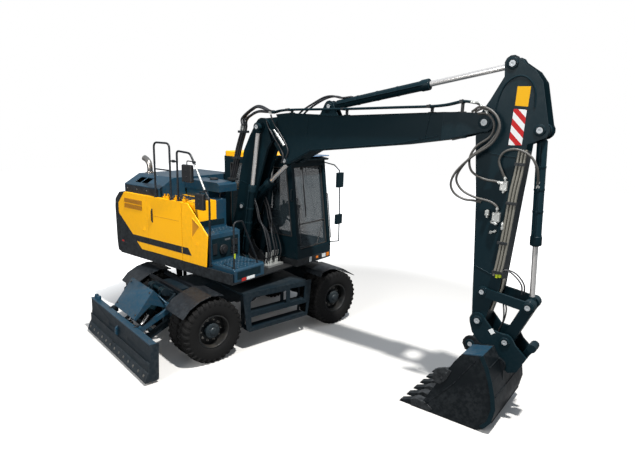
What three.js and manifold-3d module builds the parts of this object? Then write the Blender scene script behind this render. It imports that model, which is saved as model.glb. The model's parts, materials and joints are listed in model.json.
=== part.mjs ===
// Wheeled excavator with a two-piece boom, rear dozer blade, twin tyres and a quick coupler.
// Millimetres, +Z up. The origin is on the ground under the slewing axis, +X runs along the boom
// and +Y is the operator's left. The chassis stands turned under the upper structure by swingAngle.

import * as THREE from "three";
import { mergeVertices } from "three/addons/utils/BufferGeometryUtils.js";
import Module from "manifold-3d";

const wasm = await Module();
wasm.setup();

// ---------------------------------------------------------------- driving dimensions

const swingAngle = THREE.MathUtils.degToRad(78.6);
const seat = 0.3; // gap left between two pieces that rest on each other
const pivotGap = 0.5; // side play of a hinged eye between its ears

// Running gear, in the chassis frame: +x is the steering end.
const wheelbase = 2600;
const tyreRadius = 515;
const tyreHalfWidth = 137;
const innerTyreY = 770;
const twinSpacing = 320;
const rimRadius = 254;
const rimWall = 14;
const wheelSides = 20;
const kingpinY = 500;
const axleRadius = 95;
const hubFaceY = 590;
const frameHalfWidth = 330;
const frameBottomZ = 650;
const frameTopZ = 1000;
const frameHalfLength = wheelbase / 2 + 260;
const slewRingRadius = 600;
const slewRingBottomZ = 1160;
const deckZ = 1235;

// Dozer blade at the rear of the chassis.
// The blade's outlines are drawn for a frame that ends at bladeMountX, and move with the frame's end.
const bladeMountX = -1560;
const bladeOffset = -frameHalfLength - bladeMountX;
const bladeHalfWidth = 1245;
const bladeTopZ = 610;
const bladeClearance = 40;
const bladeArmY = 405;
const bladeArmWidth = 65;
const bladeArmReach = { x: -500, z: -230 };
const bladeLowerPin = { x: -1700, z: 530 };
const bladeLinkRise = 280;
const bladeLinkY = 540;
const bladeLinkWidth = 50;
const bladeCylinderY = 200;
const bladeBarrelPin = { x: -1660, z: 980 };
const bladeRodPin = { x: -2100, z: 420 };

// Upper structure.
const bodyHalfWidth = 1245;
const panelThickness = 20;
const skirtTopZ = 1410;
const bodyTopZ = 2410;
const tailX = -2350;
const counterweightFrontX = -1990;
const panelRearX = -1985;
const doorRearX = -1090;
const doorFrontX = -148;
const leftDoorRearX = -1395;
const panelGap = 6;
const cabRearX = -730;
const cabFrontX = 1130;
const cabTopFrontX = 930;
const cabInnerY = 262;
const cabFloorZ = 1361;
const cabTopZ = 3080;
const cabWall = 50;
const cabDoorRearX = -250;
const cabDoorGap = 5;

// Front end: pins in the XZ plane, at the pose the machine stands in.
const boomOffsetY = -40;
const boomFoot = { x: 0, z: 1700 };
const boomJoint = { x: 670, z: 3650 };
const liftBase = { x: 340, z: 1365 };
const adjustBase = { x: 190, z: 2265 };
const adjustPin = { x: 1200, z: 3130 };
const armCylinderBase = { x: 1969, z: 3990 };
const armCylinderPin = { x: 4638, z: 4474 };
const armPivot = { x: 4393, z: 3801 };
const bucketCylinderBase = { x: 5025, z: 3726 };
const leverPivot = { x: 4573, z: 1687 };
const leverPin = { x: 5147, z: 1611 };
const armEnd = { x: 4554, z: 1291 };
const couplerPin = { x: 4929, z: 1096 };
const bucketPins = [
  { x: 4507, z: 966 },
  { x: 4882, z: 782 },
];
const boomHalfWidth = 145;
const forkInnerY = 95;
const tongueHalfWidth = forkInnerY - pivotGap;
const armHalfWidth = 150;
const boomForkInnerY = armHalfWidth + 20 + pivotGap;
const boomForkPlate = 30;
const couplerHalfWidth = 190;
const bucketHalfWidth = 590;
const bucketEarThickness = 40;
const eyeHalfWidth = 45;
const earThickness = 20;
const glandFactor = 1.15;
const liftRadius = 62;
const liftCylinderY = boomHalfWidth + liftRadius * glandFactor + 6;

// ---------------------------------------------------------------- materials

const paint = (color, roughness = 0.45, metalness = 0.1) =>
  new THREE.MeshStandardMaterial({ color, roughness, metalness });
const yellow = paint(0xf6a915);
const slate = paint(0x1d272d);
const teal = paint(0x1f3a48);
const charcoal = paint(0x2b2c2e, 0.6);
const rubber = paint(0x2a2622, 0.9, 0);
const chrome = paint(0xb9b1a6, 0.2, 1);
const glass = new THREE.MeshStandardMaterial({
  color: 0x8fa3a8,
  roughness: 0.05,
  metalness: 0,
  transparent: true,
  opacity: 0.35,
});
const upholstery = paint(0x1b1c1e, 0.9, 0);
const steel = paint(0x8a8d90, 0.35, 0.9);

// ---------------------------------------------------------------- solids

// A closed manifold-3d solid from a three.js geometry, with slivers dropped and faces turned outwards.
function toSolid(geometry) {
  const bare = geometry.clone();
  bare.deleteAttribute("normal");
  bare.deleteAttribute("uv");
  const merged = mergeVertices(bare, 1e-3);
  const position = merged.attributes.position;
  const triangles = [];
  let volume = 0;
  const a = new THREE.Vector3();
  const b = new THREE.Vector3();
  const c = new THREE.Vector3();
  for (let i = 0; i < merged.index.count; i += 3) {
    const [p, q, r] = [0, 1, 2].map((k) => merged.index.getX(i + k));
    if (p === q || q === r || r === p) continue;
    triangles.push([p, q, r]);
    a.fromBufferAttribute(position, p);
    b.fromBufferAttribute(position, q);
    c.fromBufferAttribute(position, r);
    volume += a.dot(b.cross(c));
  }
  const outward = volume < 0 ? triangles.map(([p, q, r]) => [p, r, q]) : triangles;
  return new wasm.Manifold(
    new wasm.Mesh({
      numProp: 3,
      vertProperties: new Float32Array(position.array),
      triVerts: new Uint32Array(outward.flat()),
    }),
  );
}

function toGeometry(solid) {
  const mesh = solid.getMesh();
  const geometry = new THREE.BufferGeometry();
  geometry.setAttribute("position", new THREE.BufferAttribute(mesh.vertProperties, 3));
  geometry.setIndex(new THREE.BufferAttribute(mesh.triVerts, 1));
  return geometry;
}

const join = (...solids) => solids.flat(Infinity).reduce((whole, next) => whole.add(next));
const cut = (body, ...tools) => tools.flat(Infinity).reduce((rest, tool) => rest.subtract(tool), body);

// A straight box between two corners, given as [low, high] pairs along x, y and z.
function box([x0, x1], [y0, y1], [z0, z1]) {
  const geometry = new THREE.BoxGeometry(x1 - x0, y1 - y0, z1 - z0);
  geometry.translate((x0 + x1) / 2, (y0 + y1) / 2, (z0 + z1) / 2);
  return toSolid(geometry);
}

// The span between two distances from the centre plane, on the left (side 1) or right (side -1).
const span = (side, near, far) => (side > 0 ? [near, far] : [-far, -near]);
const sides = [-1, 1];

function extruded(outline, depth, axes) {
  const shape = new THREE.Shape(outline.map(([u, v]) => new THREE.Vector2(u, v)));
  const geometry = new THREE.ExtrudeGeometry(shape, { depth, bevelEnabled: false });
  geometry.applyMatrix4(new THREE.Matrix4().makeBasis(...axes));
  return geometry;
}

const X = new THREE.Vector3(1, 0, 0);
const Y = new THREE.Vector3(0, 1, 0);
const Z = new THREE.Vector3(0, 0, 1);

// An outline of [x, z] points, as thick as the y span; likewise [x, y] over z and [y, z] over x.
const plateXZ = (outline, [y0, y1]) =>
  toSolid(extruded(outline, y1 - y0, [X, Z, Y.clone().negate()]).translate(0, y1, 0));
const plateXY = (outline, [z0, z1]) =>
  toSolid(extruded(outline, z1 - z0, [X, Y, Z]).translate(0, 0, z0));
const plateYZ = (outline, [x0, x1]) =>
  toSolid(extruded(outline, x1 - x0, [Y, Z, X]).translate(x0, 0, 0));

// A disc or boss along Y about a pin.
function boss(pin, radius, [y0, y1], segments = 16) {
  const geometry = new THREE.CylinderGeometry(radius, radius, y1 - y0, segments);
  geometry.translate(pin.x, (y0 + y1) / 2, pin.z);
  return toSolid(geometry);
}

// A round bar between two points.
function bar(from, to, radius, segments = 12) {
  const start = new THREE.Vector3(...from);
  const way = new THREE.Vector3(...to).sub(start);
  const geometry = new THREE.CylinderGeometry(radius, radius, way.length(), segments);
  geometry.translate(0, way.length() / 2, 0);
  geometry.applyQuaternion(new THREE.Quaternion().setFromUnitVectors(Y, way.clone().normalize()));
  geometry.translate(start.x, start.y, start.z);
  return toSolid(geometry);
}

// Round tube swept through corner points, mitred at each corner.
function pipe(points, radius, segments = 6) {
  const path = points.map((point) => new THREE.Vector3(...point));
  const ways = path.slice(1).map((point, i) => point.clone().sub(path[i]).normalize());
  const across = Math.abs(ways[0].z) > 0.9 ? X.clone() : Z.clone();
  across.addScaledVector(ways[0], -across.dot(ways[0])).normalize();
  const start = Array.from({ length: segments }, (_, k) =>
    across.clone().multiplyScalar(radius).applyAxisAngle(ways[0], (2 * Math.PI * k) / segments).add(path[0]),
  );
  const rings = [start];
  ways.forEach((way, i) => {
    const normal = way.clone().add(ways[i + 1] ?? way).normalize();
    rings.push(rings[i].map((point) => {
      const run = path[i + 1].clone().sub(point).dot(normal) / way.dot(normal);
      return point.clone().addScaledVector(way, run);
    }));
  });
  const index = [];
  for (let i = 0; i < rings.length - 1; i += 1) {
    for (let k = 0; k < segments; k += 1) {
      const next = (k + 1) % segments;
      const [a, b, c, d] = [i * segments + k, i * segments + next, (i + 1) * segments + k,
        (i + 1) * segments + next];
      index.push(a, b, d, a, d, c);
    }
  }
  const last = (rings.length - 1) * segments;
  for (let k = 1; k < segments - 1; k += 1) {
    index.push(0, k + 1, k, last, last + k, last + k + 1);
  }
  const geometry = new THREE.BufferGeometry().setFromPoints(rings.flat());
  geometry.setIndex(index);
  return toSolid(geometry);
}

// Turned solids: the profile holds [radius, distance along the axis] points.
function turned(profile, segments = wheelSides) {
  const closed = [...profile, profile[0]].map(([r, h]) => new THREE.Vector2(r, h));
  return new THREE.LatheGeometry(closed, segments);
}
const turnedY = (profile, segments) => toSolid(turned(profile, segments));
const turnedZ = (profile, segments) => toSolid(turned(profile, segments).rotateX(Math.PI / 2));

// A sheet that follows a polyline of [x, z] points, with its thickness below the line.
function sheetXZ(points, thickness, ySpan) {
  const below = points.map(([x, z], i) => {
    const [x0, z0] = points[Math.max(i - 1, 0)];
    const [x1, z1] = points[Math.min(i + 1, points.length - 1)];
    const length = Math.hypot(x1 - x0, z1 - z0);
    return [x + ((z1 - z0) / length) * thickness, z - ((x1 - x0) / length) * thickness];
  });
  return plateXZ([...points, ...below.reverse()], ySpan);
}

// Points of an arc about a pin, from one angle to another in degrees.
function arc(pin, radius, from, to, steps = 6) {
  return Array.from({ length: steps + 1 }, (_, i) => {
    const angle = THREE.MathUtils.degToRad(from + ((to - from) * i) / steps);
    return [pin.x + radius * Math.cos(angle), pin.z + radius * Math.sin(angle)];
  });
}

const excavator = new THREE.Group();
const chassis = new THREE.Group();
chassis.rotation.z = swingAngle;
excavator.add(chassis);
const frontEnd = new THREE.Group();
frontEnd.position.y = boomOffsetY;
excavator.add(frontEnd);

function addPiece(group, name, solid, material) {
  const mesh = new THREE.Mesh(toGeometry(solid), material);
  mesh.name = name;
  group.add(mesh);
  return mesh;
}

// ---------------------------------------------------------------- chassis

const hub = { x: 0, z: 0 };
const bladePins = {
  lower: { x: bladeLowerPin.x + bladeArmReach.x, z: bladeLowerPin.z + bladeArmReach.z },
  upper: {
    x: bladeLowerPin.x + bladeArmReach.x,
    z: bladeLowerPin.z + bladeArmReach.z + bladeLinkRise,
  },
};
const bladeUpperPin = { x: bladeLowerPin.x, z: bladeLowerPin.z + bladeLinkRise };
const clevisFar = eyeHalfWidth + pivotGap + earThickness;

// The two ears that hold an eye of eyeHalfWidth, from the same outline.
const ears = (outline, y) =>
  sides.map((s) => {
    const [near, far] = span(s, eyeHalfWidth + pivotGap, clevisFar);
    return plateXZ(outline, [y + near, y + far]);
  });

// Room in the inner ears of the blade cylinders for the cross tube that joins the pair.
const bladeTubeRoom = (pin, radius) => boss(pin, radius, [-bladeCylinderY + 20, bladeCylinderY - 20], 12);

function chassisFrame() {
  const end = frameHalfLength;
  const spine = plateXZ(
    [
      [-end, frameBottomZ], [-1000, frameBottomZ], [-900, frameBottomZ - 90], [900, frameBottomZ - 90],
      [1000, frameBottomZ], [end, frameBottomZ], [end + 60, 780], [end, frameTopZ], [-end, frameTopZ],
    ],
    [-frameHalfWidth, frameHalfWidth],
  );
  const recesses = [-1, 1].map((end) =>
    box([(end * wheelbase) / 2 - 150, (end * wheelbase) / 2 + 150], [-212, 212], [500, tyreRadius + 200]),
  );
  const turret = turnedZ(
    [[0, 990], [660, 990], [570, 1060], [slewRingRadius, 1130], [slewRingRadius, slewRingBottomZ],
      [0, slewRingBottomZ]],
  );
  const deck = plateXY(
    [[-760, -1005], [560, -1005], [600, -700], [600, 700], [560, 1005], [-760, 1005]],
    [frameTopZ, frameTopZ + 12],
  );
  const outriggers = [[-640, -540], [340, 440]].map((x) =>
    box(x, [-stepInnerY + seat, stepInnerY - seat], [900, frameTopZ]),
  );
  const bladeEars = sides.map((s) =>
    plateXZ(
      [[-1540, 650], [-1640, 465], [-1740, 465], [-1765, 530], [-1765, 830], [-1740, 875], [-1660, 875],
        [-1540, 980]],
      span(s, bladeArmY - 35, bladeArmY - pivotGap),
    ),
  );
  const bladeBeam = box([-1570, -1530], [-bladeArmY + pivotGap, bladeArmY - pivotGap], [660, 960]);
  const cylinderEars = sides.flatMap((s) =>
    ears(
      [[-1540, 900], [-1640, 915], [-1710, 940], [-1725, 990], [-1690, 1035], [-1640, 1040], [-1540, 999]],
      s * bladeCylinderY,
    ),
  );
  const towEye = box([end - 20, end + 120], [-90, 90], [700, 740]);
  const bladeSide = cut(join(bladeEars, bladeBeam, cylinderEars), bladeTubeRoom(bladeBarrelPin, 32))
    .translate([bladeOffset, 0, 0]);
  return join(cut(spine, recesses), turret, deck, outriggers, bladeSide, towEye);
}

const stepInnerY = 1010;
const stepOuterY = 1210;

// Side frame with three step treads, a slanted rear leg and a box with a square window.
function stepFrame(side) {
  const cheek = cut(
    plateXZ(
      [[-770, 1030], [680, 1000], [640, 560], [600, 340], [-650, 340], [-700, 400]],
      span(side, stepOuterY - 20, stepOuterY),
    ),
    [
      [[-620, 680], [-620, 860], [-560, 925], [120, 905], [120, 680]],
      [[200, 670], [200, 925], [540, 910], [515, 670]],
      [[-605, 410], [-612, 590], [585, 590], [565, 410]],
    ].map((window) => plateXZ(window, span(side, stepOuterY - 40, stepOuterY + 20))),
  );
  const treads = [
    [[-760, 560], [990, 1020]],
    [[-630, 560], [600, 660]],
    [[-650, 560], [340, 400]],
  ].map(([x, z]) => box(x, span(side, stepInnerY, stepOuterY - 10), z));
  const posts = [
    [[-690, -620], [370, 1000]],
    [[130, 190], [630, 1000]],
    [[520, 560], [370, 1000]],
  ].map(([x, z]) => box(x, span(side, stepInnerY, stepInnerY + 25), z));
  return join(cheek, treads, posts);
}

const padTop = frameBottomZ - tyreRadius - seat;

function axleCentre() {
  const housing = turnedY(
    [[0, -210], [105, -210], [185, -90], [185, 90], [105, 210], [0, 210]],
    16,
  );
  const pads = sides.map((s) => box([-110, 110], span(s, 215, 315), [40, padTop]));
  const input = bar([-70, 0, 0], [70, 0, 0], 120, 16);
  return [housing, pads, input];
}

function rearAxle() {
  const tube = boss(hub, axleRadius, [-hubFaceY, hubFaceY]);
  const flanges = sides.map((s) => boss(hub, 140, span(s, hubFaceY - 28, hubFaceY)));
  return join(tube, axleCentre(), flanges);
}

const yokeHeight = 110;
const yokeThickness = 35;
const yokeRadius = 55;

function frontAxle() {
  const tube = boss(hub, axleRadius, [-kingpinY + 90, kingpinY - 90]);
  const yokes = sides.flatMap((s) => [
    ...sides.map((up) => {
      const z = span(up, yokeHeight, yokeHeight + yokeThickness);
      return join(
        box([-yokeRadius, yokeRadius], span(s, kingpinY - 110, kingpinY), z),
        toSolid(
          new THREE.CylinderGeometry(yokeRadius, yokeRadius, yokeThickness, 16)
            .rotateX(Math.PI / 2)
            .translate(0, s * kingpinY, (z[0] + z[1]) / 2),
        ),
      );
    }),
    box(
      [-yokeRadius, yokeRadius],
      span(s, kingpinY - 110, kingpinY - 80),
      [-yokeHeight - yokeThickness, yokeHeight + yokeThickness],
    ),
  ]);
  return join(tube, axleCentre(), yokes);
}

const fenderInnerY = 600;
const fenderOuterY = 1200;
const fenderThickness = 10;
const frontFenderLine = [[-385, 480], [-350, 560], [-160, 597], [180, 545], [490, 365]];
const rearFenderLine = [[-520, 325], [-400, 455], [-230, 545], [-30, 597], [180, 565]];

// Steering knuckle between the yoke's arms, with the bracket and the fender that it carries.
function knuckle(side) {
  const bodyHeight = yokeHeight - pivotGap;
  const body = box([-48, 48], span(side, kingpinY - 45, hubFaceY), [-bodyHeight, bodyHeight]);
  const flange = boss(hub, 140, span(side, hubFaceY - 24, hubFaceY));
  const steeringArm = box([-190, 0], span(side, kingpinY - 15, kingpinY + 25), [-60, -30]);
  const bracketFoot = box([-60, 60], span(side, hubFaceY - 24, hubFaceY + 25), [160, 230]);
  const neck = box([-60, 60], span(side, hubFaceY - 24, hubFaceY), [60, 230]);
  const bracket = box([-60, 60], span(side, hubFaceY + 5, hubFaceY + 25), [160, 585]);
  const fender = sheetXZ(frontFenderLine, fenderThickness, span(side, fenderInnerY, fenderOuterY));
  return join(body, flange, steeringArm, neck, bracketFoot, bracket, fender);
}

// Both rear fenders, carried by two cross bars that lie on the chassis frame.
function rearFenders() {
  const sheets = sides.map((s) =>
    sheetXZ(rearFenderLine, fenderThickness, span(s, fenderInnerY, fenderOuterY)),
  );
  const barBottom = frameTopZ - tyreRadius + seat;
  const stays = [
    { x: [-240, -180], top: 544 },
    { x: [40, 100], top: 580 },
  ];
  const bars = stays.map(({ x }) =>
    box(x, [-fenderInnerY - 15, fenderInnerY + 15], [barBottom, barBottom + 50]),
  );
  const risers = sides.flatMap((s) =>
    stays.map(({ x, top }) => box(x, span(s, fenderInnerY, fenderInnerY + 15), [barBottom, top])),
  );
  return join(sheets, bars, risers);
}

// Both tyres of a twin wheel, joined by the spacer ring between their beads.
function twinTyres() {
  const half = tyreHalfWidth;
  const bead = half - 32;
  const crown = (y) => [
    [rimRadius + 76, y - half], [tyreRadius - 65, y - half + 5], [tyreRadius, y - half + 45],
    [tyreRadius, y + half - 45], [tyreRadius - 65, y + half - 5], [rimRadius + 76, y + half],
  ];
  const outerTyreY = innerTyreY + twinSpacing;
  return turnedY([
    [rimRadius, innerTyreY - bead],
    [rimRadius + 20, innerTyreY - bead],
    ...crown(innerTyreY),
    [rimRadius + 16, innerTyreY + bead + 8],
    [rimRadius + 16, outerTyreY - bead - 8],
    ...crown(outerTyreY),
    [rimRadius + 20, outerTyreY + bead],
    [rimRadius, outerTyreY + bead],
  ]);
}

// Rim barrel for both tyres, wheel disc and planetary hub, turned in one profile.
function rimAndHub() {
  const bead = tyreHalfWidth - 32;
  const barrel = rimRadius - seat;
  const inner = barrel - rimWall;
  const innerLipY = innerTyreY - bead - seat;
  const outerLipY = innerTyreY + twinSpacing + bead + seat;
  const lip = rimRadius + 18;
  const discY = innerTyreY + twinSpacing - 20;
  return turnedY([
    [0, hubFaceY + pivotGap], [140, hubFaceY + pivotGap], [140, discY - 15], [inner, discY - 15],
    [inner, innerLipY - 10], [lip, innerLipY - 10], [lip, innerLipY], [barrel, innerLipY],
    [barrel, outerLipY], [lip, outerLipY], [lip, outerLipY + 10], [inner, outerLipY + 10],
    [inner, discY], [128, discY], [115, outerLipY - 8], [0, outerLipY - 8],
  ]);
}

function addRunningGear() {
  addPiece(chassis, "chassis_frame", chassisFrame(), slate);
  addPiece(
    chassis,
    "slew_ring",
    turnedZ(
      [[420, slewRingBottomZ + seat], [slewRingRadius, slewRingBottomZ + seat],
        [slewRingRadius, deckZ - pivotGap], [420, deckZ - pivotGap]],
    ),
    steel,
  );
  for (const side of sides) {
    const hand = side > 0 ? "left" : "right";
    addPiece(chassis, `${hand}_step_frame`, stepFrame(side), slate);
  }
  for (const end of [-1, 1]) {
    const axle = new THREE.Group();
    axle.position.set((end * wheelbase) / 2, 0, tyreRadius);
    chassis.add(axle);
    const place = end > 0 ? "front" : "rear";
    addPiece(axle, `${place}_axle`, end > 0 ? frontAxle() : rearAxle(), slate);
    if (end < 0) addPiece(axle, "rear_fenders", rearFenders(), charcoal);
    for (const side of sides) {
      const hand = side > 0 ? "left" : "right";
      if (end > 0) addPiece(axle, `${hand}_knuckle`, knuckle(side), charcoal);
      const turn = side > 0 ? 0 : Math.PI;
      addPiece(axle, `${place}_${hand}_tyres`, twinTyres(), rubber).rotation.z = turn;
      addPiece(axle, `${place}_${hand}_rim`, rimAndHub(), slate).rotation.z = turn;
    }
  }
}

// ---------------------------------------------------------------- dozer blade

function dozerBlade() {
  const top = bladeTopZ;
  const foot = bladeClearance;
  const face = [[-2440, foot], [-2385, 200], [-2352, 400], [-2350, top]];
  const back = [[-2325, top], [-2327, 400], [-2360, 205], [-2415, foot]];
  const skin = plateXZ([...face, ...back], [-bladeHalfWidth, bladeHalfWidth]);
  const flange = box([-2350, -2252], [-bladeHalfWidth, bladeHalfWidth], [top - 20, top]);
  const beam = box([-2380, -2270], [-bladeHalfWidth, bladeHalfWidth], [220, 330]);
  const cheeks = sides.map((s) =>
    plateXZ(
      [[-2440, foot], [-2385, 200], [-2352, 400], [-2350, top], [-2220, top], [-2240, foot + 20], [-2260, foot]],
      span(s, bladeHalfWidth - 20, bladeHalfWidth),
    ),
  );
  const lowerEars = sides.map((s) =>
    plateXZ(
      [[-2370, 200], [-2200, 240], [-2140, 270], [-2140, 330], [-2170, 360], [-2260, 600], [-2340, 600]],
      span(s, bladeArmY - 35, bladeArmY - pivotGap),
    ),
  );
  const upperEars = sides.map((s) =>
    plateXZ(
      [[-2340, 420], [-2230, 500], [-2150, 540], [-2145, 610], [-2180, 640], [-2240, 640], [-2340, 600]],
      span(s, bladeLinkY - 35, bladeLinkY - pivotGap),
    ),
  );
  const cylinderEars = sides.flatMap((s) =>
    ears(
      [[-2345, 300], [-2270, 310], [-2100, 365], [-2050, 400], [-2050, 440], [-2100, 475], [-2345, 560]],
      s * bladeCylinderY,
    ),
  );
  return join(
    skin, flange, beam, cheeks, lowerEars, upperEars,
    cut(join(cylinderEars), bladeTubeRoom(bladeRodPin, 40)),
  );
}

// Two arms side by side with the chassis ears, joined by a cross tube.
function bladeLowerArms() {
  const middle = { x: (bladeLowerPin.x + bladePins.lower.x) / 2, z: (bladeLowerPin.z + bladePins.lower.z) / 2 };
  const arms = sides.flatMap((s) => {
    const y = span(s, bladeArmY, bladeArmY + bladeArmWidth);
    const ends = [bladeLowerPin, bladePins.lower].map((pin) => boss(pin, 65, y));
    const web = plateXZ(
      [
        [bladeLowerPin.x, bladeLowerPin.z - 55], [bladeLowerPin.x, bladeLowerPin.z + 55],
        [bladePins.lower.x, bladePins.lower.z + 55], [bladePins.lower.x, bladePins.lower.z - 55],
      ],
      y,
    );
    return [...ends, web];
  });
  const tube = boss(middle, 38, [-bladeArmY - 10, bladeArmY + 10], 12);
  return join(arms, tube);
}

// Upper links outboard of the arms, with the cover plate over the cylinders on two ribs.
function bladeUpperLink() {
  const links = sides.flatMap((s) => {
    const y = span(s, bladeLinkY, bladeLinkY + bladeLinkWidth);
    const web = plateXZ(
      [
        [bladeUpperPin.x, bladeUpperPin.z - 42], [bladeUpperPin.x, bladeUpperPin.z + 42],
        [bladePins.upper.x, bladePins.upper.z + 42], [bladePins.upper.x, bladePins.upper.z - 42],
      ],
      y,
    );
    return [
      boss(bladeUpperPin, 52, span(s, bladeArmY, bladeLinkY + bladeLinkWidth)),
      boss(bladePins.upper, 48, y),
      web,
    ];
  });
  const ribs = sides.map((s) =>
    plateXZ(
      [
        [bladeUpperPin.x - 10, bladeUpperPin.z - 40], [bladeUpperPin.x + 30, bladeUpperPin.z + 30],
        [-1908, 1098], [-1926, 1100], [-2240, 690], [-2215, 672], [-1960, 880],
      ],
      span(s, bladeArmY, bladeArmY + 15),
    ),
  );
  const cover = plateXZ(
    [[-1905, 1100], [-1917, 1109], [-2242, 694], [-2228, 684]],
    [-bladeArmY - 15, bladeArmY + 15],
  );
  return join(links, ribs, cover);
}

// ---------------------------------------------------------------- cylinders

// A point at some distance from the base pin towards the rod pin.
const alongCylinder = (base, tip, y) => {
  const reach = Math.hypot(tip.x - base.x, tip.z - base.z);
  return (distance) => [
    base.x + ((tip.x - base.x) * distance) / reach,
    y,
    base.z + ((tip.z - base.z) * distance) / reach,
  ];
};

const rodFactor = 0.55;
const rodOverlap = 60; // what stays inside the gland when the rod is fully out

// Barrel from its base eye towards the rod pin: eye, neck, tube and gland ring along one line,
// bored as deep as the rod goes. The stroke is [how far the rod still comes out, how far it goes in].
function barrelSolid(base, tip, { y, radius, length, stroke: [out, home] }) {
  const at = alongCylinder(base, tip, y);
  const eye = boss(base, radius * 1.05, [y - eyeHalfWidth, y + eyeHalfWidth], 12);
  const neck = bar(at(0), at(radius + 60), eyeHalfWidth - 4, 12);
  const tube = bar(at(radius + 50), at(length - 60), radius, 12);
  const gland = bar(at(length - 110), at(length), radius * glandFactor, 12);
  const boreDepth = out + rodOverlap + home + 15;
  const bore = bar(at(length - boreDepth), at(length + 20), radius * rodFactor + pivotGap, 12);
  return cut(join(eye, neck, tube, gland), bore);
}

// Rod from inside the barrel to its eye on the pin.
function rodSolid(base, tip, { y, radius, length, stroke: [out] }) {
  const at = alongCylinder(base, tip, y);
  const reach = Math.hypot(tip.x - base.x, tip.z - base.z);
  const rod = bar(at(length - out - rodOverlap), at(reach - radius * 0.5), radius * rodFactor, 12);
  return join(rod, boss(tip, radius * 0.95, [y - eyeHalfWidth, y + eyeHalfWidth], 12));
}

function addCylinder(group, name, base, tip, sizes, barrelMaterial = slate) {
  addPiece(group, `${name}_barrel`, barrelSolid(base, tip, sizes), barrelMaterial);
  addPiece(group, `${name}_rod`, rodSolid(base, tip, sizes), chrome);
}

function addBlade() {
  const mount = new THREE.Group();
  mount.position.x = bladeOffset;
  chassis.add(mount);
  addPiece(mount, "dozer_blade", dozerBlade(), teal);
  addPiece(mount, "blade_lower_arms", bladeLowerArms(), slate);
  addPiece(mount, "blade_upper_link", bladeUpperLink(), teal);
  const sizes = (y) => ({ y, radius: 52, length: 430, stroke: [65, 215] });
  const inner = bladeCylinderY - eyeHalfWidth + 5;
  // The pair of barrels turns on one cross tube, and the pair of rods on another.
  const barrels = sides.map((s) => barrelSolid(bladeBarrelPin, bladeRodPin, sizes(s * bladeCylinderY)));
  const rods = sides.map((s) => rodSolid(bladeBarrelPin, bladeRodPin, sizes(s * bladeCylinderY)));
  const barrelTube = boss(bladeBarrelPin, 30, [-inner, inner], 12);
  const rodTube = boss(bladeRodPin, 26, [-inner, inner], 12);
  addPiece(mount, "blade_barrels", join(barrels, barrelTube), slate);
  addPiece(mount, "blade_rods", join(rods, rodTube), chrome);
}

// ---------------------------------------------------------------- upper structure

function upperFrame() {
  const plate = plateXY(
    [
      [-1500, -bodyHalfWidth], [1050, -bodyHalfWidth], [1050, cabInnerY - 20], [cabFrontX, cabInnerY - 20],
      [cabFrontX, bodyHalfWidth], [-1500, bodyHalfWidth],
    ],
    [deckZ, deckZ + 20],
  );
  const skirtBack = counterweightFrontX + seat;
  const rails = [
    box([skirtBack, 1050], [-bodyHalfWidth, -bodyHalfWidth + 20], [deckZ, skirtTopZ - seat]),
    box([skirtBack, cabRearX - 20], [bodyHalfWidth - 20, bodyHalfWidth], [deckZ, skirtTopZ - seat]),
    box([cabRearX - 20, cabFrontX], [bodyHalfWidth - 20, bodyHalfWidth], [deckZ, cabFloorZ - seat]),
    box([cabFrontX - 20, cabFrontX], [cabInnerY - 20, bodyHalfWidth], [deckZ, cabFloorZ - seat]),
    box([cabRearX - 20, cabFrontX], [cabInnerY - 20, cabInnerY], [deckZ, cabFloorZ - seat]),
    box([skirtBack, -1480], [-bodyHalfWidth, bodyHalfWidth], [deckZ, deckZ + 20]),
  ];
  const footPlates = sides.map((s) =>
    plateXZ(
      [
        [-620, deckZ + 10], [-260, 1540], ...arc(boomFoot, 130, 150, 20, 4), [250, 1500], [500, 1330],
        [560, deckZ + 10],
      ],
      span(s, boomHalfWidth + pivotGap, boomHalfWidth + 10),
    ),
  );
  const bulkhead = box([-400, -370], [-boomHalfWidth - 8, boomHalfWidth + 8], [deckZ + 10, 1380]);
  const liftEars = sides.map((s) => {
    const outline = [
      [liftBase.x - 170, deckZ + 10], ...arc(liftBase, 80, 160, 10, 4), [liftBase.x + 170, deckZ + 10],
    ];
    const y = span(s, liftCylinderY - clevisFar, liftCylinderY + clevisFar);
    const room = span(s, liftCylinderY - eyeHalfWidth - pivotGap, liftCylinderY + eyeHalfWidth + pivotGap);
    return cut(plateXZ(outline, y), plateXZ(
      [[liftBase.x - 200, liftBase.z - 95], [liftBase.x + 200, liftBase.z - 95],
        [liftBase.x + 200, liftBase.z + 200], [liftBase.x - 200, liftBase.z + 200]],
      room,
    ));
  });
  const bracket = join(footPlates, bulkhead, liftEars).translate([0, boomOffsetY, 0]);
  return join(plate, rails, bracket);
}

function counterweight() {
  const tail = (grow) => [
    [counterweightFrontX, -bodyHalfWidth + grow], [-2080 + grow, -1190 + grow], [-2200 + grow, -900],
    [-2300 + grow, -450], [tailX + grow, 0], [-2300 + grow, 450], [-2200 + grow, 900],
    [-2080 + grow, 1190 - grow], [counterweightFrontX, bodyHalfWidth - grow],
  ];
  const block = plateXY(tail(0), [deckZ, 2140]);
  const cap = plateXY(tail(60), [2100, 2200]);
  return join(block, cap);
}

const outerSkin = (side) => span(side, bodyHalfWidth - panelThickness, bodyHalfWidth);

// Hinge knuckles on a door's edge, as wide as the gap to the next panel leaves them.
const knuckles = (x, y, gap, heights) =>
  heights.map((z) =>
    toSolid(
      new THREE.CylinderGeometry(gap - seat, gap - seat, 90, 8).rotateX(Math.PI / 2).translate(x, y, z),
    ),
  );

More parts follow.
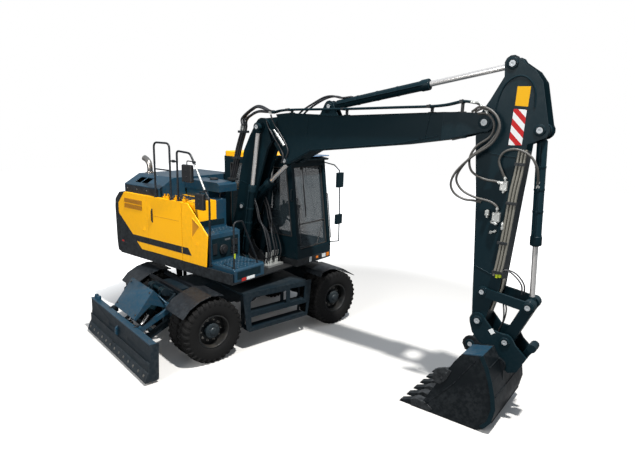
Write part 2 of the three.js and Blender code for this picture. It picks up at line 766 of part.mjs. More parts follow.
function rightPanels() {
  const low = skirtTopZ;
  const rear = plateXZ(
    [[panelRearX, low], [doorRearX - panelGap, low], [doorRearX - panelGap, bodyTopZ], [-1780, bodyTopZ],
      [panelRearX, 2190]],
    outerSkin(-1),
  );
  const louvre = box([-1780, -1240], [-bodyHalfWidth - 5, -bodyHalfWidth + 8], [2130, 2300]);
  const door = plateXZ(
    [[doorRearX, low + 5], [doorFrontX, low + 5], [doorFrontX, bodyTopZ], [doorRearX, bodyTopZ]],
    outerSkin(-1),
  );
  const handle = box([-970, -940], [-bodyHalfWidth - 5, -bodyHalfWidth + 8], [1960, 2190]);
  const front = plateXZ(
    [[doorFrontX + panelGap, low], [450, low], [500, 1940], [20, bodyTopZ], [doorFrontX + panelGap, bodyTopZ]],
    outerSkin(-1),
  );
  const hinged = join(
    cut(door, handle),
    knuckles(doorFrontX, -bodyHalfWidth, panelGap, [1600, 2250]),
  );
  return { rear: cut(rear, louvre), door: hinged, front };
}

function leftPanels() {
  const low = skirtTopZ;
  const panel = plateXZ(
    [[panelRearX, low], [leftDoorRearX - panelGap, low], [leftDoorRearX - panelGap, bodyTopZ],
      [-1780, bodyTopZ], [panelRearX, 2190]],
    outerSkin(1),
  );
  const frontX = cabRearX - 10;
  const door = plateXZ(
    [[leftDoorRearX, low + 5], [frontX, low + 5], [frontX, bodyTopZ], [leftDoorRearX, bodyTopZ]],
    outerSkin(1),
  );
  return { panel, door: join(door, knuckles(leftDoorRearX, bodyHalfWidth, panelGap, [1600, 2250])) };
}

// Top of the body: an L-shaped plate with the engine opening, and the slope behind it.
function topCover() {
  const edge = bodyHalfWidth - panelThickness - 3;
  const top = plateXY(
    [[-1780, -edge], [doorFrontX, -edge], [doorFrontX, -655], [cabRearX - 10, -655], [cabRearX - 10, edge],
      [-1780, edge]],
    [bodyTopZ - 20, bodyTopZ],
  );
  const opening = box([-1720, -880], [-1050, 500], [bodyTopZ - 40, bodyTopZ + 20]);
  const slope = plateXZ(
    [[-1775, bodyTopZ], [-1775, bodyTopZ - 25], [-1960, 2205], [panelRearX, 2205], [-1790, bodyTopZ]],
    [-edge, edge],
  );
  return join(cut(top, opening), slope);
}

const hoodTopZ = 2730;
const hoodBaseZ = bodyTopZ + seat;
const hoodLeftY = 600;
const hoodRightY = -1190;

// Raised hood over the engine: upright band, slope on the right with two air openings, flat top.
function engineHood() {
  const section = (inset) => [
    [hoodRightY + inset, hoodBaseZ - inset * 0.4], [hoodRightY + inset, 2560],
    [-880 + inset * 0.4, hoodTopZ - inset], [hoodLeftY - 60 - inset * 0.4, hoodTopZ - inset],
    [hoodLeftY - inset, 2620], [hoodLeftY - inset, hoodBaseZ - inset * 0.4],
  ];
  const skin = plateYZ(section(0), [-1830, -790]);
  const hollow = plateYZ(section(18), [-1812, -808]);
  const openings = [[-1630, -1450], [-1430, -1250]].map((x) => box(x, [-1110, -960], [2500, 2800]));
  return cut(skin, hollow, openings);
}

// Curved tail pipe that rises from the hood and bends to the rear.
function exhaustPipe() {
  const path = new THREE.CatmullRomCurve3(
    [[-1740, 2731], [-1740, 2840], [-1765, 2920], [-1830, 2975], [-1900, 3000]].map(
      ([x, z]) => new THREE.Vector3(x, -700, z),
    ),
  );
  const ring = Array.from({ length: 12 }, (_, i) => {
    const angle = (i / 12) * 2 * Math.PI;
    return new THREE.Vector2(55 * Math.cos(angle), 55 * Math.sin(angle));
  });
  const pipeBody = new THREE.ExtrudeGeometry(new THREE.Shape(ring), {
    steps: 10, extrudePath: path, bevelEnabled: false,
  });
  const collar = turnedZ([[0, 0], [85, 0], [85, 12], [0, 12]], 16).translate([-1740, -700, hoodTopZ + seat]);
  return join(toSolid(pipeBody), collar);
}

function hydraulicTank() {
  const tank = box([-735, -160], [-645, -240], [deckZ + 20 + seat, 2545]);
  const lid = plateXZ(
    [[-775, 2540], [120, 2540], [120, 2660], [70, 2700], [-725, 2700], [-775, 2660]],
    [-650, -235],
  );
  return join(tank, lid);
}

// Fuel tank with two steps up to the top, and the tool box under the lower step.
function fuelTank() {
  const floor = deckZ + 20 + seat;
  const inner = railY + railRadius + 12;
  const tank = plateXZ(
    [[-130, floor], [470, floor], [470, 1930], [380, 1950], [140, 1950], [140, 2420], [-130, 2420]],
    [inner, -510],
  );
  const toolBox = plateXZ(
    [[460, floor], [1040, floor], [1040, 1440], [1010, 1470], [460, 1470]],
    [inner, -510],
  );
  return join(tank, toolBox);
}

const railY = 33 - bodyHalfWidth;
const railRadius = 17;

// Guard rails on the right edge, tied to each other, with the two mirrors that hang on them.
function sideHandrail() {
  const foot = bodyTopZ + seat;
  const hoop = pipe(
    [[-860, railY, foot], [-860, railY, 3290], [-790, railY, 3345], [-500, railY, 3345],
      [-440, railY, 3290], [-440, railY, foot]],
    railRadius,
  );
  const rung = bar([-860, railY, 2900], [-440, railY, 2900], railRadius, 6);
  const rail = pipe(
    [[-250, railY, foot], [-250, railY, 3190], [-190, railY, 3235], [80, railY, 3215],
      [170, railY, 3080], [430, railY, 2640]],
    railRadius,
  );
  const tie = bar([-440, railY, 3060], [-250, railY, 3060], railRadius, 6);
  const post = pipe(
    [[430, railY, 2640], [520, railY, 2520], [520, railY, skirtTopZ + 30],
      [520, railY + railRadius + 12 - seat, skirtTopZ + 30]],
    railRadius,
  );
  const mirrorA = box([-110, 130], [railY - 35, railY + 35], [2750, 3030]);
  const hangerA = pipe([[0, railY, 3000], [0, railY, 3080], [170, railY, 3080]], 9);
  const mirrorB = box([200, 410], [railY - 35, railY + 35], [2330, 2590]);
  const hangerB = pipe([[300, railY, 2560], [300, railY, 2620], [440, railY, 2620]], 9);
  return join(hoop, rung, rail, tie, post, mirrorA, hangerA, mirrorB, hangerB);
}

function frontHandrail() {
  const foot = 1470 + seat;
  return pipe(
    [[985, -1140, foot], [985, -1140, 2120], [985, -1080, 2215], [985, -980, 2215], [985, -930, 2150],
      [985, -630, 1530], [985, -630, foot]],
    15,
  );
}

// ---------------------------------------------------------------- cab

const frontX = (z) => cabFrontX + ((cabTopFrontX - cabFrontX) * (z - cabSillZ)) / (cabTopZ - cabSillZ);
const cabSillZ = 1500;
const cabWindowTopZ = cabTopZ - 120;
const doorGlassTopZ = cabTopZ - 165;
const doorWindowTopZ = cabTopZ - 180;

// Side outline of the cab at a given inset from its outer faces.
const cabOutline = (inset) => [
  [cabRearX + inset, cabFloorZ + inset], [cabFrontX - inset, cabFloorZ + inset],
  [cabFrontX - inset, cabSillZ], [cabTopFrontX - inset, cabTopZ - inset],
  [cabRearX + inset, cabTopZ - inset],
];

const doorOutline = (grow) => [
  [cabDoorRearX - grow, 1420 - grow], [cabFrontX - 75 + grow, 1420 - grow], [cabFrontX - 75 + grow, cabSillZ],
  [frontX(cabWindowTopZ) - 75 + grow, cabWindowTopZ + grow],
  [cabDoorRearX - grow, cabWindowTopZ + grow],
];

function cabShell() {
  const skin = plateXZ(cabOutline(0), [cabInnerY, bodyHalfWidth]);
  const room = plateXZ(cabOutline(cabWall), [cabInnerY + cabWall, bodyHalfWidth - cabWall]);
  const windscreen = plateYZ(
    [[cabInnerY + 75, 1520], [bodyHalfWidth - 75, 1520], [bodyHalfWidth - 75, cabWindowTopZ + 15],
      [cabInnerY + 75, cabWindowTopZ + 15]],
    [700, 1300],
  );
  const rightWindow = plateXZ(
    [[-560, 1760], [frontX(1760) - 110, 1760], [frontX(cabWindowTopZ) - 110, cabWindowTopZ],
      [-560, cabWindowTopZ]],
    [cabInnerY - 50, cabInnerY + cabWall + 10],
  );
  const rearWindow = box([cabRearX - 50, cabRearX + cabWall + 10], [cabInnerY + 90, bodyHalfWidth - 90],
    [2150, cabWindowTopZ]);
  const doorway = plateXZ(doorOutline(cabDoorGap), [bodyHalfWidth - cabWall - 10, bodyHalfWidth + 50]);
  const quarter = box([-650, cabDoorRearX - 70], [bodyHalfWidth - cabWall - 10, bodyHalfWidth + 50],
    [2000, cabWindowTopZ]);
  const roof = plateXZ(
    [[cabRearX, cabTopZ - 5], [cabTopFrontX - 230, cabTopZ - 5], [cabTopFrontX - 260, cabTopZ + 80],
      [cabRearX + 30, cabTopZ + 90]],
    [cabInnerY + 20, bodyHalfWidth - 20],
  );
  const visor = plateXZ(
    [[cabTopFrontX - 300, cabTopZ - 5], [cabTopFrontX + 110, cabTopZ], [cabTopFrontX + 130, cabTopZ + 30],
      [cabTopFrontX - 200, cabTopZ + 80], [cabTopFrontX - 300, cabTopZ + 80]],
    [cabInnerY + 40, bodyHalfWidth - 40],
  );
  const mirrorArm = pipe(
    [[cabTopFrontX - 20, bodyHalfWidth - 60, cabTopZ - 40], [1230, bodyHalfWidth - 100, cabTopZ - 80],
      [1290, bodyHalfWidth - 20, cabTopZ - 180], [1290, bodyHalfWidth + 30, 2200], [1290, bodyHalfWidth + 40, 1560],
      [cabFrontX - 20, bodyHalfWidth - 40, 1530]],
    11,
  );
  const mirrors = [[cabTopZ - 490, cabTopZ - 220], [1900, 2080]].map(([low, high]) =>
    box([1262, 1318], [bodyHalfWidth - 80, bodyHalfWidth + 90], [low, high]),
  );
  return join(
    cut(skin, room, windscreen, rightWindow, rearWindow, doorway, quarter),
    roof, visor, mirrorArm, mirrors,
  );
}

// One bent run of glass inside the shell: windscreen, right, rear and quarter panes.
function cabGlass() {
  const pane = 6;
  const outer = cabWall + seat;
  const inner = outer + pane;
  const outside = plateXZ(cabOutline(outer), [cabInnerY + outer, bodyHalfWidth - outer]);
  const inside = plateXZ(cabOutline(inner), [cabInnerY + inner, bodyHalfWidth - inner]);
  const below = box([cabRearX - 10, cabFrontX + 10], [cabInnerY, bodyHalfWidth], [cabFloorZ, 1480]);
  const above = box([cabRearX - 10, cabFrontX + 10], [cabInnerY, bodyHalfWidth], [cabTopZ - 90, cabTopZ]);
  const doorSide = box([cabDoorRearX - 40, cabFrontX + 10], [bodyHalfWidth - outer - pane - 1, bodyHalfWidth],
    [cabFloorZ, cabTopZ]);
  return cut(outside, inside, below, above, doorSide);
}

function cabDoor() {
  const y = [bodyHalfWidth - 30, bodyHalfWidth];
  const window = [
    [cabDoorRearX + 60, 1560], [cabFrontX - 150, 1560], [frontX(doorWindowTopZ) - 135, doorWindowTopZ],
    [cabDoorRearX + 60, doorWindowTopZ],
  ];
  const door = join(
    cut(plateXZ(doorOutline(0), y), plateXZ(window, [y[0] - 10, y[1] + 10])),
    knuckles(cabDoorRearX, bodyHalfWidth, cabDoorGap, [1600, 2200, 2800]),
  );
  const pane = plateXZ(
    [
      [cabDoorRearX + 40, 1540], [cabFrontX - 130, 1540], [frontX(doorGlassTopZ) - 115, doorGlassTopZ],
      [cabDoorRearX + 40, doorGlassTopZ],
    ],
    [y[0] - seat - 5, y[0] - seat],
  );
  return { door, pane };
}

// Seat, side consoles, steering column and pedestal on one floor plate.
function cabInterior() {
  const middle = (cabInnerY + bodyHalfWidth) / 2;
  const floor = cabFloorZ + cabWall + seat;
  const mat = box([-600, 950], [cabInnerY + 90, bodyHalfWidth - 90], [floor, floor + 12]);
  const pedestal = box([-380, -20], [middle - 180, middle + 180], [floor, 1720]);
  const cushion = plateXZ(
    [[-420, 1715], [120, 1715], [150, 1760], [120, 1830], [-420, 1810]],
    [middle - 250, middle + 250],
  );
  const back = plateXZ(
    [[-430, 1780], [-330, 1780], [-440, 2400], [-500, 2400], [-550, 2360]],
    [middle - 240, middle + 240],
  );
  const headrest = plateXZ([[-560, 2390], [-450, 2390], [-465, 2560], [-540, 2560]], [middle - 130, middle + 130]);
  const consoles = sides.map((s) =>
    plateXZ(
      [[-400, 1720], [60, 1720], [140, 1960], [80, 2010], [-380, 2000]],
      [middle + s * 320 - 60, middle + s * 320 + 60],
    ),
  );
  const consoleFeet = box([-300, -100], [middle - 330, middle + 330], [1700, 1760]);
  const levers = sides.map((s) =>
    bar([100, middle + s * 320, 1980], [130, middle + s * 320, 2150], 22, 8),
  );
  const column = bar([720, middle, floor + 18], [548, middle, 2100], 45, 8);
  const wheel = new THREE.TorusGeometry(190, 16, 5, 16);
  wheel.rotateX(Math.PI / 2);
  wheel.rotateY(THREE.MathUtils.degToRad(-35));
  wheel.translate(545, middle, 2105);
  const spokes = bar([545, middle - 190, 2105], [545, middle + 190, 2105], 14, 6);
  return join(mat, pedestal, cushion, back, headrest, consoles, consoleFeet, levers, column,
    toSolid(wheel), spokes);
}

function addUpper() {
  addPiece(excavator, "upper_frame", upperFrame(), charcoal);
  addPiece(excavator, "counterweight", counterweight(), charcoal);
  const right = rightPanels();
  addPiece(excavator, "right_rear_panel", right.rear, yellow);
  addPiece(excavator, "right_door", right.door, yellow);
  addPiece(excavator, "right_front_panel", right.front, yellow);
  const left = leftPanels();
  addPiece(excavator, "left_panel", left.panel, yellow);
  addPiece(excavator, "left_door", left.door, yellow);
  addPiece(excavator, "top_cover", topCover(), yellow);
  addPiece(excavator, "engine_hood", engineHood(), teal);
  addPiece(excavator, "exhaust_pipe", exhaustPipe(), steel);
  const engine = box([-1700, -1000], [-950, 450], [deckZ + 20 + seat, 2250]);
  addPiece(excavator, "engine_block", engine, charcoal);
  addPiece(excavator, "hydraulic_tank", hydraulicTank(), teal);
  addPiece(excavator, "fuel_tank", fuelTank(), teal);
  addPiece(excavator, "side_handrail", sideHandrail(), slate);
  addPiece(excavator, "front_handrail", frontHandrail(), slate);
  addPiece(excavator, "cab_shell", cabShell(), slate);
  addPiece(excavator, "cab_glass", cabGlass(), glass);
  const { door, pane } = cabDoor();
  addPiece(excavator, "cab_door", door, slate);
  addPiece(excavator, "door_glass", pane, glass);
  addPiece(excavator, "cab_interior", cabInterior(), upholstery);
}

// ---------------------------------------------------------------- boom, arm and bucket

// Fork of two cheek plates with a rear web, a foot tube and side bosses for the lift rods.
function lowerBoom() {
  const outline = [
    ...arc(boomFoot, 120, 215, 340, 5), [330, 2050], [500, 2450], [630, 2850], [720, 3100], [790, 3290], [880, 3430],
    ...arc(boomJoint, 150, -20, 150, 7), [390, 3500], [250, 3250], [130, 2700], [50, 2200], [-60, 1900],
  ];
  const cheeks = sides.map((s) => plateXZ(outline, span(s, forkInnerY, boomHalfWidth)));
  const room = [-forkInnerY, forkInnerY];
  const web = cut(
    plateXZ(
      [[-40, 1800], [60, 1800], [140, 2180], [215, 2690], [330, 3200], [300, 3290], [240, 3220], [120, 2700],
        [45, 2200], [-50, 1900]],
      [-forkInnerY - 10, forkInnerY + 10],
    ),
    boss(adjustBase, 110, room),
  );
  const foot = boss(boomFoot, 118, [-boomHalfWidth, boomHalfWidth]);
  const liftBosses = sides.map((s) =>
    boss(boomJoint, 70, span(s, boomHalfWidth - 10, liftCylinderY - eyeHalfWidth - pivotGap)),
  );
  const adjustBosses = sides.map((s) =>
    boss(adjustBase, 70, span(s, eyeHalfWidth + pivotGap, forkInnerY + 10)),
  );
  return join(cheeks, web, foot, liftBosses, adjustBosses);
}

const boomBoxFrontX = 4050;

function upperBoom() {
  const tongue = plateXZ(
    [...arc(boomJoint, 140, 90, 260, 6), [900, 3450], [1100, 3330], [1400, 3300], [1500, 3860]],
    [-tongueHalfWidth, tongueHalfWidth],
  );
  const notch = arc(boomJoint, 390, 32, -42, 8);
  const beam = plateXZ(
    [...notch, [1130, 3190], [1200, 3080], [1290, 3085], [1720, 3310], [3250, 3480], [boomBoxFrontX, 3600],
      [boomBoxFrontX, 3925], [2250, 3855], [1250, 3880]],
    [-boomForkInnerY, boomForkInnerY],
  );
  const hollow = plateXZ(
    [[1850, 3360], [3250, 3510], [boomBoxFrontX + 50, 3640], [boomBoxFrontX + 50, 3890], [2250, 3825],
      [1850, 3830]],
    [-boomForkInnerY + 25, boomForkInnerY - 25],
  );
  const adjustSlot = plateXZ(
    [[560, 2700], [1480, 2700], [1480, 3180], ...arc(adjustPin, 130, 20, 100, 4), [900, 3400], [560, 3400]],
    [-eyeHalfWidth - pivotGap, eyeHalfWidth + pivotGap],
  );
  const forkPlates = sides.map((s) =>
    plateXZ(
      [[3850, 3560], [4250, 3660], ...arc(armPivot, 118, -100, 80, 6), [3850, 3917]],
      span(s, boomForkInnerY, boomForkInnerY + boomForkPlate),
    ),
  );
  const cylinderEars = ears(
    [[1790, 3840], ...arc(armCylinderBase, 85, 150, 30, 4), [2150, 3840]],
    0,
  );
  return join(cut(join(tongue, beam), hollow, adjustSlot), forkPlates, cylinderEars);
}

function arm() {
  const outline = [
    ...arc(armCylinderPin, 95, 170, 20, 5), [4900, 4390], [4990, 4270], ...arc(bucketCylinderBase, 105, 40, -60, 4),
    [4900, 3560], [4775, 1740], [4700, 1560], ...arc(armEnd, 95, 20, -200, 8), [4455, 1460],
    [4425, 1940], [4365, 2850], [4285, 3620], [4300, 3880], [4420, 4070], [4560, 4330],
  ];
  const body = plateXZ(outline, [-armHalfWidth, armHalfWidth]);
  const pivotBoss = boss(armPivot, 105, [-boomForkInnerY + pivotGap, boomForkInnerY - pivotGap]);
  // The hollow runs out between the cylinder ears at the top, so the ears stand as a fork.
  const hollow = plateXZ(
    [[4485, 1700], [4700, 1780], [4830, 3480], [5200, 3480], [5250, 4250], [4700, 4700], [4480, 4700],
      [4590, 4330], [4560, 4180], [4540, 3950], [4420, 3560], [4400, 2850]],
    [-armHalfWidth + 20, armHalfWidth - 20],
  );
  const spacers = [armCylinderPin, bucketCylinderBase].flatMap((pin) =>
    sides.map((s) => boss(pin, 80, span(s, eyeHalfWidth + pivotGap, armHalfWidth - 10))),
  );
  const leverBore = boss(leverPivot, 42, [-armHalfWidth - 10, armHalfWidth + 10], 16);
  const eyeRoom = [armCylinderPin, bucketCylinderBase].map((pin) =>
    boss(pin, 135, [-eyeHalfWidth - pivotGap, eyeHalfWidth + pivotGap]),
  );
  return cut(join(cut(body, hollow), pivotBoss, spacers), leverBore, eyeRoom);
}

// Lever plates on both sides of the arm, joined by the pin that turns in the arm.
function bucketLevers() {
  const pin = boss(leverPivot, 40.5, [-armHalfWidth - 20, armHalfWidth + 20], 16);
  const plates = sides.flatMap((s) => {
    const y = span(s, armHalfWidth + pivotGap, armHalfWidth + 36);
    const web = plateXZ(
      [
        [leverPivot.x, leverPivot.z + 62], [leverPin.x, leverPin.z + 62], [leverPin.x, leverPin.z - 62],
        [leverPivot.x, leverPivot.z - 62],
      ],
      y,
    );
    return [boss(leverPivot, 72, y), boss(leverPin, 75, y), web];
  });
  return join(pin, plates);
}

function hLink() {
  const width = [-armHalfWidth, armHalfWidth];
  const lower = boss(couplerPin, 78, width);
  const upper = boss(leverPin, 78, width);
  const way = { x: couplerPin.x - leverPin.x, z: couplerPin.z - leverPin.z };
  const length = Math.hypot(way.x, way.z);
  const side = { x: (-way.z / length) * 70, z: (way.x / length) * 70 };
  const web = plateXZ(
    [
      [leverPin.x + side.x, leverPin.z + side.z], [leverPin.x - side.x, leverPin.z - side.z],
      [couplerPin.x - side.x, couplerPin.z - side.z], [couplerPin.x + side.x, couplerPin.z + side.z],
    ],
    [-110, 110],
  );
  const rodSlot = boss(leverPin, 130, [-eyeHalfWidth - pivotGap, eyeHalfWidth + pivotGap]);
  return cut(join(lower, upper, web), rodSlot);
}

// Coupler: cheeks outside the arm and the link, a cross body behind and the latch tail.
function quickCoupler() {
  const inner = armHalfWidth + pivotGap;
  const cheek = [
    ...arc(armEnd, 105, 60, 200, 5), [4500, 1120], [4640, 960], [4850, 790], [5010, 700], [5110, 740],
    [5210, 950], [5140, 1010], [5060, 1080], ...arc(couplerPin, 105, 20, 110, 3), [4760, 1210],
    [4650, 1330],
  ];
  const cheeks = sides.map((s) => plateXZ(cheek, span(s, inner, couplerHalfWidth)));
  const frontHook = boss(bucketPins[0], 58, [-couplerHalfWidth, couplerHalfWidth]);
  const rearHook = boss(bucketPins[1], 58, [-couplerHalfWidth, couplerHalfWidth]);
  const body = plateXZ(
    [[4500, 990], [4590, 1040], [4900, 880], [5060, 900], [5120, 850], [5080, 745], [5000, 712], [4640, 930]],
    [-inner - 10, inner + 10],
  );
  const tail = boss({ x: 5230, z: 1060 }, 55, [-90, 90], 12);
  const tailNeck = plateXZ([[5060, 860], [5110, 800], [5260, 1030], [5190, 1075]], [-70, 70]);
  return join(cheeks, frontHook, rearHook, body, tail, tailNeck);
}

// Bucket: wrapper sheet, side plates, lip with teeth, side cutters and the two ears.
function bucket() {
  const backLine = [[4800, 0], [4900, 55], [4985, 170], [5020, 360], [4995, 520], [4945, 710], [4885, 870],
    [4805, 1020]];
  const wrapper = sheetXZ(
    [[3980, 0], ...backLine, [4545, 970], [4520, 930]].reverse(),
    30,
    [-bucketHalfWidth, bucketHalfWidth],
  );
  const cheeks = sides.map((s) =>
    plateXZ(
      [[3980, 0], ...backLine, [4545, 970], [4450, 830], [4180, 340], [4050, 90], [3980, 30]],
      span(s, bucketHalfWidth - 30, bucketHalfWidth),
    ),
  );
  const lip = plateXZ([[3900, 0], [4150, 0], [4150, 40], [3930, 40]], [-bucketHalfWidth, bucketHalfWidth]);
  const toothCount = 6;
  const toothPitch = (2 * bucketHalfWidth - 110) / (toothCount - 1);
  const teeth = Array.from({ length: toothCount }, (_, i) => {
    const y = -bucketHalfWidth + 55 + i * toothPitch;
    return plateXZ([[3720, 0], [4060, 0], [4060, 95], [3960, 110], [3735, 25]], [y - 50, y + 50]);
  });
  const cutters = sides.map((s) =>
    plateXZ(
      [[4180, 520], [4230, 640], [4330, 690], [4420, 680], [4330, 500], [4270, 470]],
      span(s, bucketHalfWidth - 25, bucketHalfWidth + 12),
    ),
  );
  const earY = couplerHalfWidth + pivotGap;
  const bucketEars = sides.map((s) =>
    plateXZ(
      [
        ...arc(bucketPins[0], 105, 30, 190, 6), [4440, 880], [4560, 880], [4800, 700], [4930, 560],
        [4975, 600], [4965, 690], ...arc(bucketPins[1], 100, -30, 90, 4), [4760, 930], [4640, 990],
      ],
      span(s, earY, earY + bucketEarThickness),
    ),
  );
  const hookRoom = join(
    boss(bucketPins[0], 64, [-earY, earY]),
    plateXZ(
      [[4440, 930], [4560, 1100], [5300, 900], [5080, 670], [4980, 670], [4620, 890]],
      [-earY, earY],
    ),
  );
  return join(cut(join(wrapper, cheeks), hookRoom), lip, teeth, cutters, bucketEars);
}

function addFrontEnd() {
  addPiece(frontEnd, "lower_boom", lowerBoom(), slate);
  for (const side of sides) {
    const hand = side > 0 ? "left" : "right";
    const sizes = { y: side * liftCylinderY, radius: liftRadius, length: 1320, stroke: [60, 330] };
    addCylinder(frontEnd, `${hand}_lift`, liftBase, boomJoint, sizes);
  }
  addPiece(frontEnd, "upper_boom", upperBoom(), slate);
  addCylinder(frontEnd, "adjust", adjustBase, adjustPin, { y: 0, radius: 70, length: 740, stroke: [160, 315] });
  addPiece(frontEnd, "arm", arm(), slate);
  addCylinder(frontEnd, "arm_cylinder", armCylinderBase, armCylinderPin, {
    y: 0, radius: 66, length: 1610, stroke: [310, 740],
  });
  addCylinder(frontEnd, "bucket_cylinder", bucketCylinderBase, leverPin, {
    y: 0, radius: 60, length: 1370, stroke: [255, 570],
  });
  addPiece(frontEnd, "bucket_levers", bucketLevers(), slate);
  addPiece(frontEnd, "h_link", hLink(), slate);
  addPiece(frontEnd, "quick_coupler", quickCoupler(), slate);
  addPiece(frontEnd, "bucket", bucket(), slate);
}

addRunningGear();
addBlade();
addUpper();
addFrontEnd();

export default excavator;
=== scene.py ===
# %% [markdown]
# # A wheeled excavator, dressed
# The machine already exists as a rigid frame: every plate, pin and cylinder has its place and its
# size. What is missing is what the eye reads as real: rounded plate edges, paint that has been
# rained on, rubber lugs, hoses, clamps, bolts and glass. Each cell adds one of these, and each
# piece but the hoses laid along soft curves is tied to the body of the machine that carries it, so
# that it moves with that body; those hoses ride no body.

# %% Load the imported machine
import json
import math
import random

import bmesh
import bpy
from mathutils import Matrix, Vector
from mathutils.bvhtree import BVHTree

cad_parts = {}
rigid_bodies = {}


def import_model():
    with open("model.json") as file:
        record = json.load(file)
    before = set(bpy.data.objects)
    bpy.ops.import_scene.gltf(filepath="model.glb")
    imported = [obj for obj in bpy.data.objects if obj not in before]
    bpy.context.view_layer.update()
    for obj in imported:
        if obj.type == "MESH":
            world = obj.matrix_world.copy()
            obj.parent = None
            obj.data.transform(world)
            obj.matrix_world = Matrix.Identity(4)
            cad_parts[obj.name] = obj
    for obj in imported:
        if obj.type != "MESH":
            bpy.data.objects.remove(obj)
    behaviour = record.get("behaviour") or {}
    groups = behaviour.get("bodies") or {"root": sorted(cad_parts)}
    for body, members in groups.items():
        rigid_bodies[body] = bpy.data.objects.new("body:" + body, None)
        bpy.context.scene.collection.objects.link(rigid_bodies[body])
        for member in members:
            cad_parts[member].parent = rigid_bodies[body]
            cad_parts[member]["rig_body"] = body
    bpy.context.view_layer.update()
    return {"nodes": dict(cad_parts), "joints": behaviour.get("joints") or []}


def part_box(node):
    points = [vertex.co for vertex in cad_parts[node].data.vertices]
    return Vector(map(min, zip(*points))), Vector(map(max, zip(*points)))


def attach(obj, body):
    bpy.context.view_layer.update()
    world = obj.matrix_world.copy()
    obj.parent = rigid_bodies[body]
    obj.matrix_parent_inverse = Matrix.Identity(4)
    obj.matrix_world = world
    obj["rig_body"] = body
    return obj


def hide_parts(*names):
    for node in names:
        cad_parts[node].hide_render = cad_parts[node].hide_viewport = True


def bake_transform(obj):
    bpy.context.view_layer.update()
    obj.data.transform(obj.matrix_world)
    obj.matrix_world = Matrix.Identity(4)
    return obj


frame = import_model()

# %% [markdown]
# ## Where things are
# The pins of the machine are the best landmarks, because everything near them is measured from
# them. They could be typed in as numbers, but reading them from the joints keeps the dress and
# the machine in step. The chassis stands turned under the upper structure, so the turn is read
# from the axis of a wheel.

# %% Pins, the chassis turn and the plane of the boom
joints = {joint["name"]: joint for joint in frame["joints"]}
pins = {name: Vector(joint["pos_m"]) for name, joint in joints.items() if "pos_m" in joint}
wheel_axis = Vector(joints["rear_left_spin"]["axis"])
chassis_turn = Matrix.Rotation(math.atan2(-wheel_axis.x, wheel_axis.y), 4, "Z")
upright = Matrix.Identity(4)
boom_y = pins["boom_lift"].y
sides = (-1, 1)
print("chassis turned by", round(math.degrees(chassis_turn.to_euler().z), 1), "degrees")


# %% [markdown]
# ## The camera
# The machine is seen from its right front corner, a little above the deck, so the tip of the
# bucket comes closest to the lens, and a wide lens stretches what is close. The camera could be
# aimed with a constraint, but three directions written into its matrix say exactly how it is
# held, with its slight roll.

# %% Camera
lens_spot = Vector((6.538, -6.399, 3.737))
lens_yaw, lens_pitch, lens_roll = (math.radians(a) for a in (126.812, -12.923, 1.654))
lens_length, film_width = 28.383, 36.0

ahead = Vector((
    math.cos(lens_yaw) * math.cos(lens_pitch),
    math.sin(lens_yaw) * math.cos(lens_pitch),
    math.sin(lens_pitch),
))
level_right = ahead.cross(Vector((0, 0, 1))).normalized()
level_up = level_right.cross(ahead)
roll_right = level_right * math.cos(lens_roll) + level_up * math.sin(lens_roll)
roll_up = -level_right * math.sin(lens_roll) + level_up * math.cos(lens_roll)
camera = bpy.data.objects.new("camera", bpy.data.cameras.new("camera"))
camera.matrix_world = Matrix.Translation(lens_spot) @ Matrix((
    (roll_right.x, roll_up.x, -ahead.x, 0),
    (roll_right.y, roll_up.y, -ahead.y, 0),
    (roll_right.z, roll_up.z, -ahead.z, 0),
    (0, 0, 0, 1),
))
camera.data.lens = lens_length
camera.data.sensor_width = film_width
bpy.context.scene.collection.objects.link(camera)
bpy.context.scene.camera = camera
print("lens", lens_length, "mm")

# %% [markdown]
# ## Shader groups: what happened to every surface
# Most finishes here are one colour that age has worked on. Three effects do that work: dust that
# settles where a face looks up, a fine unevenness of the film of paint, and edges that are
# rubbed bare. Each could be rebuilt in every material, but a node group is built once, has named
# sockets, and takes its own values wherever it is placed.

# %% A small tool to build node groups


def node_group(name, inputs, outputs):
    """An empty shader group with the given sockets; returns it with its two end nodes."""
    group = bpy.data.node_groups.new(name, "ShaderNodeTree")
    for label, kind, value in inputs:
        socket = group.interface.new_socket(label, in_out="INPUT", socket_type=kind)
        socket.default_value = value
    for label, kind in outputs:
        group.interface.new_socket(label, in_out="OUTPUT", socket_type=kind)
    start = group.nodes.new("NodeGroupInput")
    end = group.nodes.new("NodeGroupOutput")
    return group, start, end


FLOAT, COLOR, VECTOR = "NodeSocketFloat", "NodeSocketColor", "NodeSocketVector"


def fill_socket(tree, socket, value):
    """Sets a socket, or links it when the value is itself a socket."""
    if isinstance(value, bpy.types.NodeSocket):
        tree.links.new(value, socket)
    else:
        socket.default_value = value


def set_inputs(node, **values):
    """Sets plain values on a node's sockets; an underscore stands for a space."""
    for key, value in values.items():
        node.inputs[key.replace("_", " ")].default_value = value


def add_node(tree, kind, settings=None, **sockets):
    """A node with its settings and socket values; i0, i1 and so on name a socket by its number."""
    node = tree.nodes.new(kind)
    for key, value in (settings or {}).items():
        setattr(node, key, value)
    for key, value in sockets.items():
        numbered = key[0] == "i" and key[1:].isdigit()
        fill_socket(tree, node.inputs[int(key[1:]) if numbered else key.replace("_", " ")], value)
    return node


def math_node(tree, operation, a, b=0.0, clamp=False):
    settings = {"operation": operation, "use_clamp": clamp}
    return add_node(tree, "ShaderNodeMath", settings, i0=a, i1=b).outputs[0]


def mix_color(tree, factor, a, b):
    node = add_node(tree, "ShaderNodeMix", {"data_type": "RGBA"}, i0=factor, i6=a, i7=b)
    return node.outputs[2]


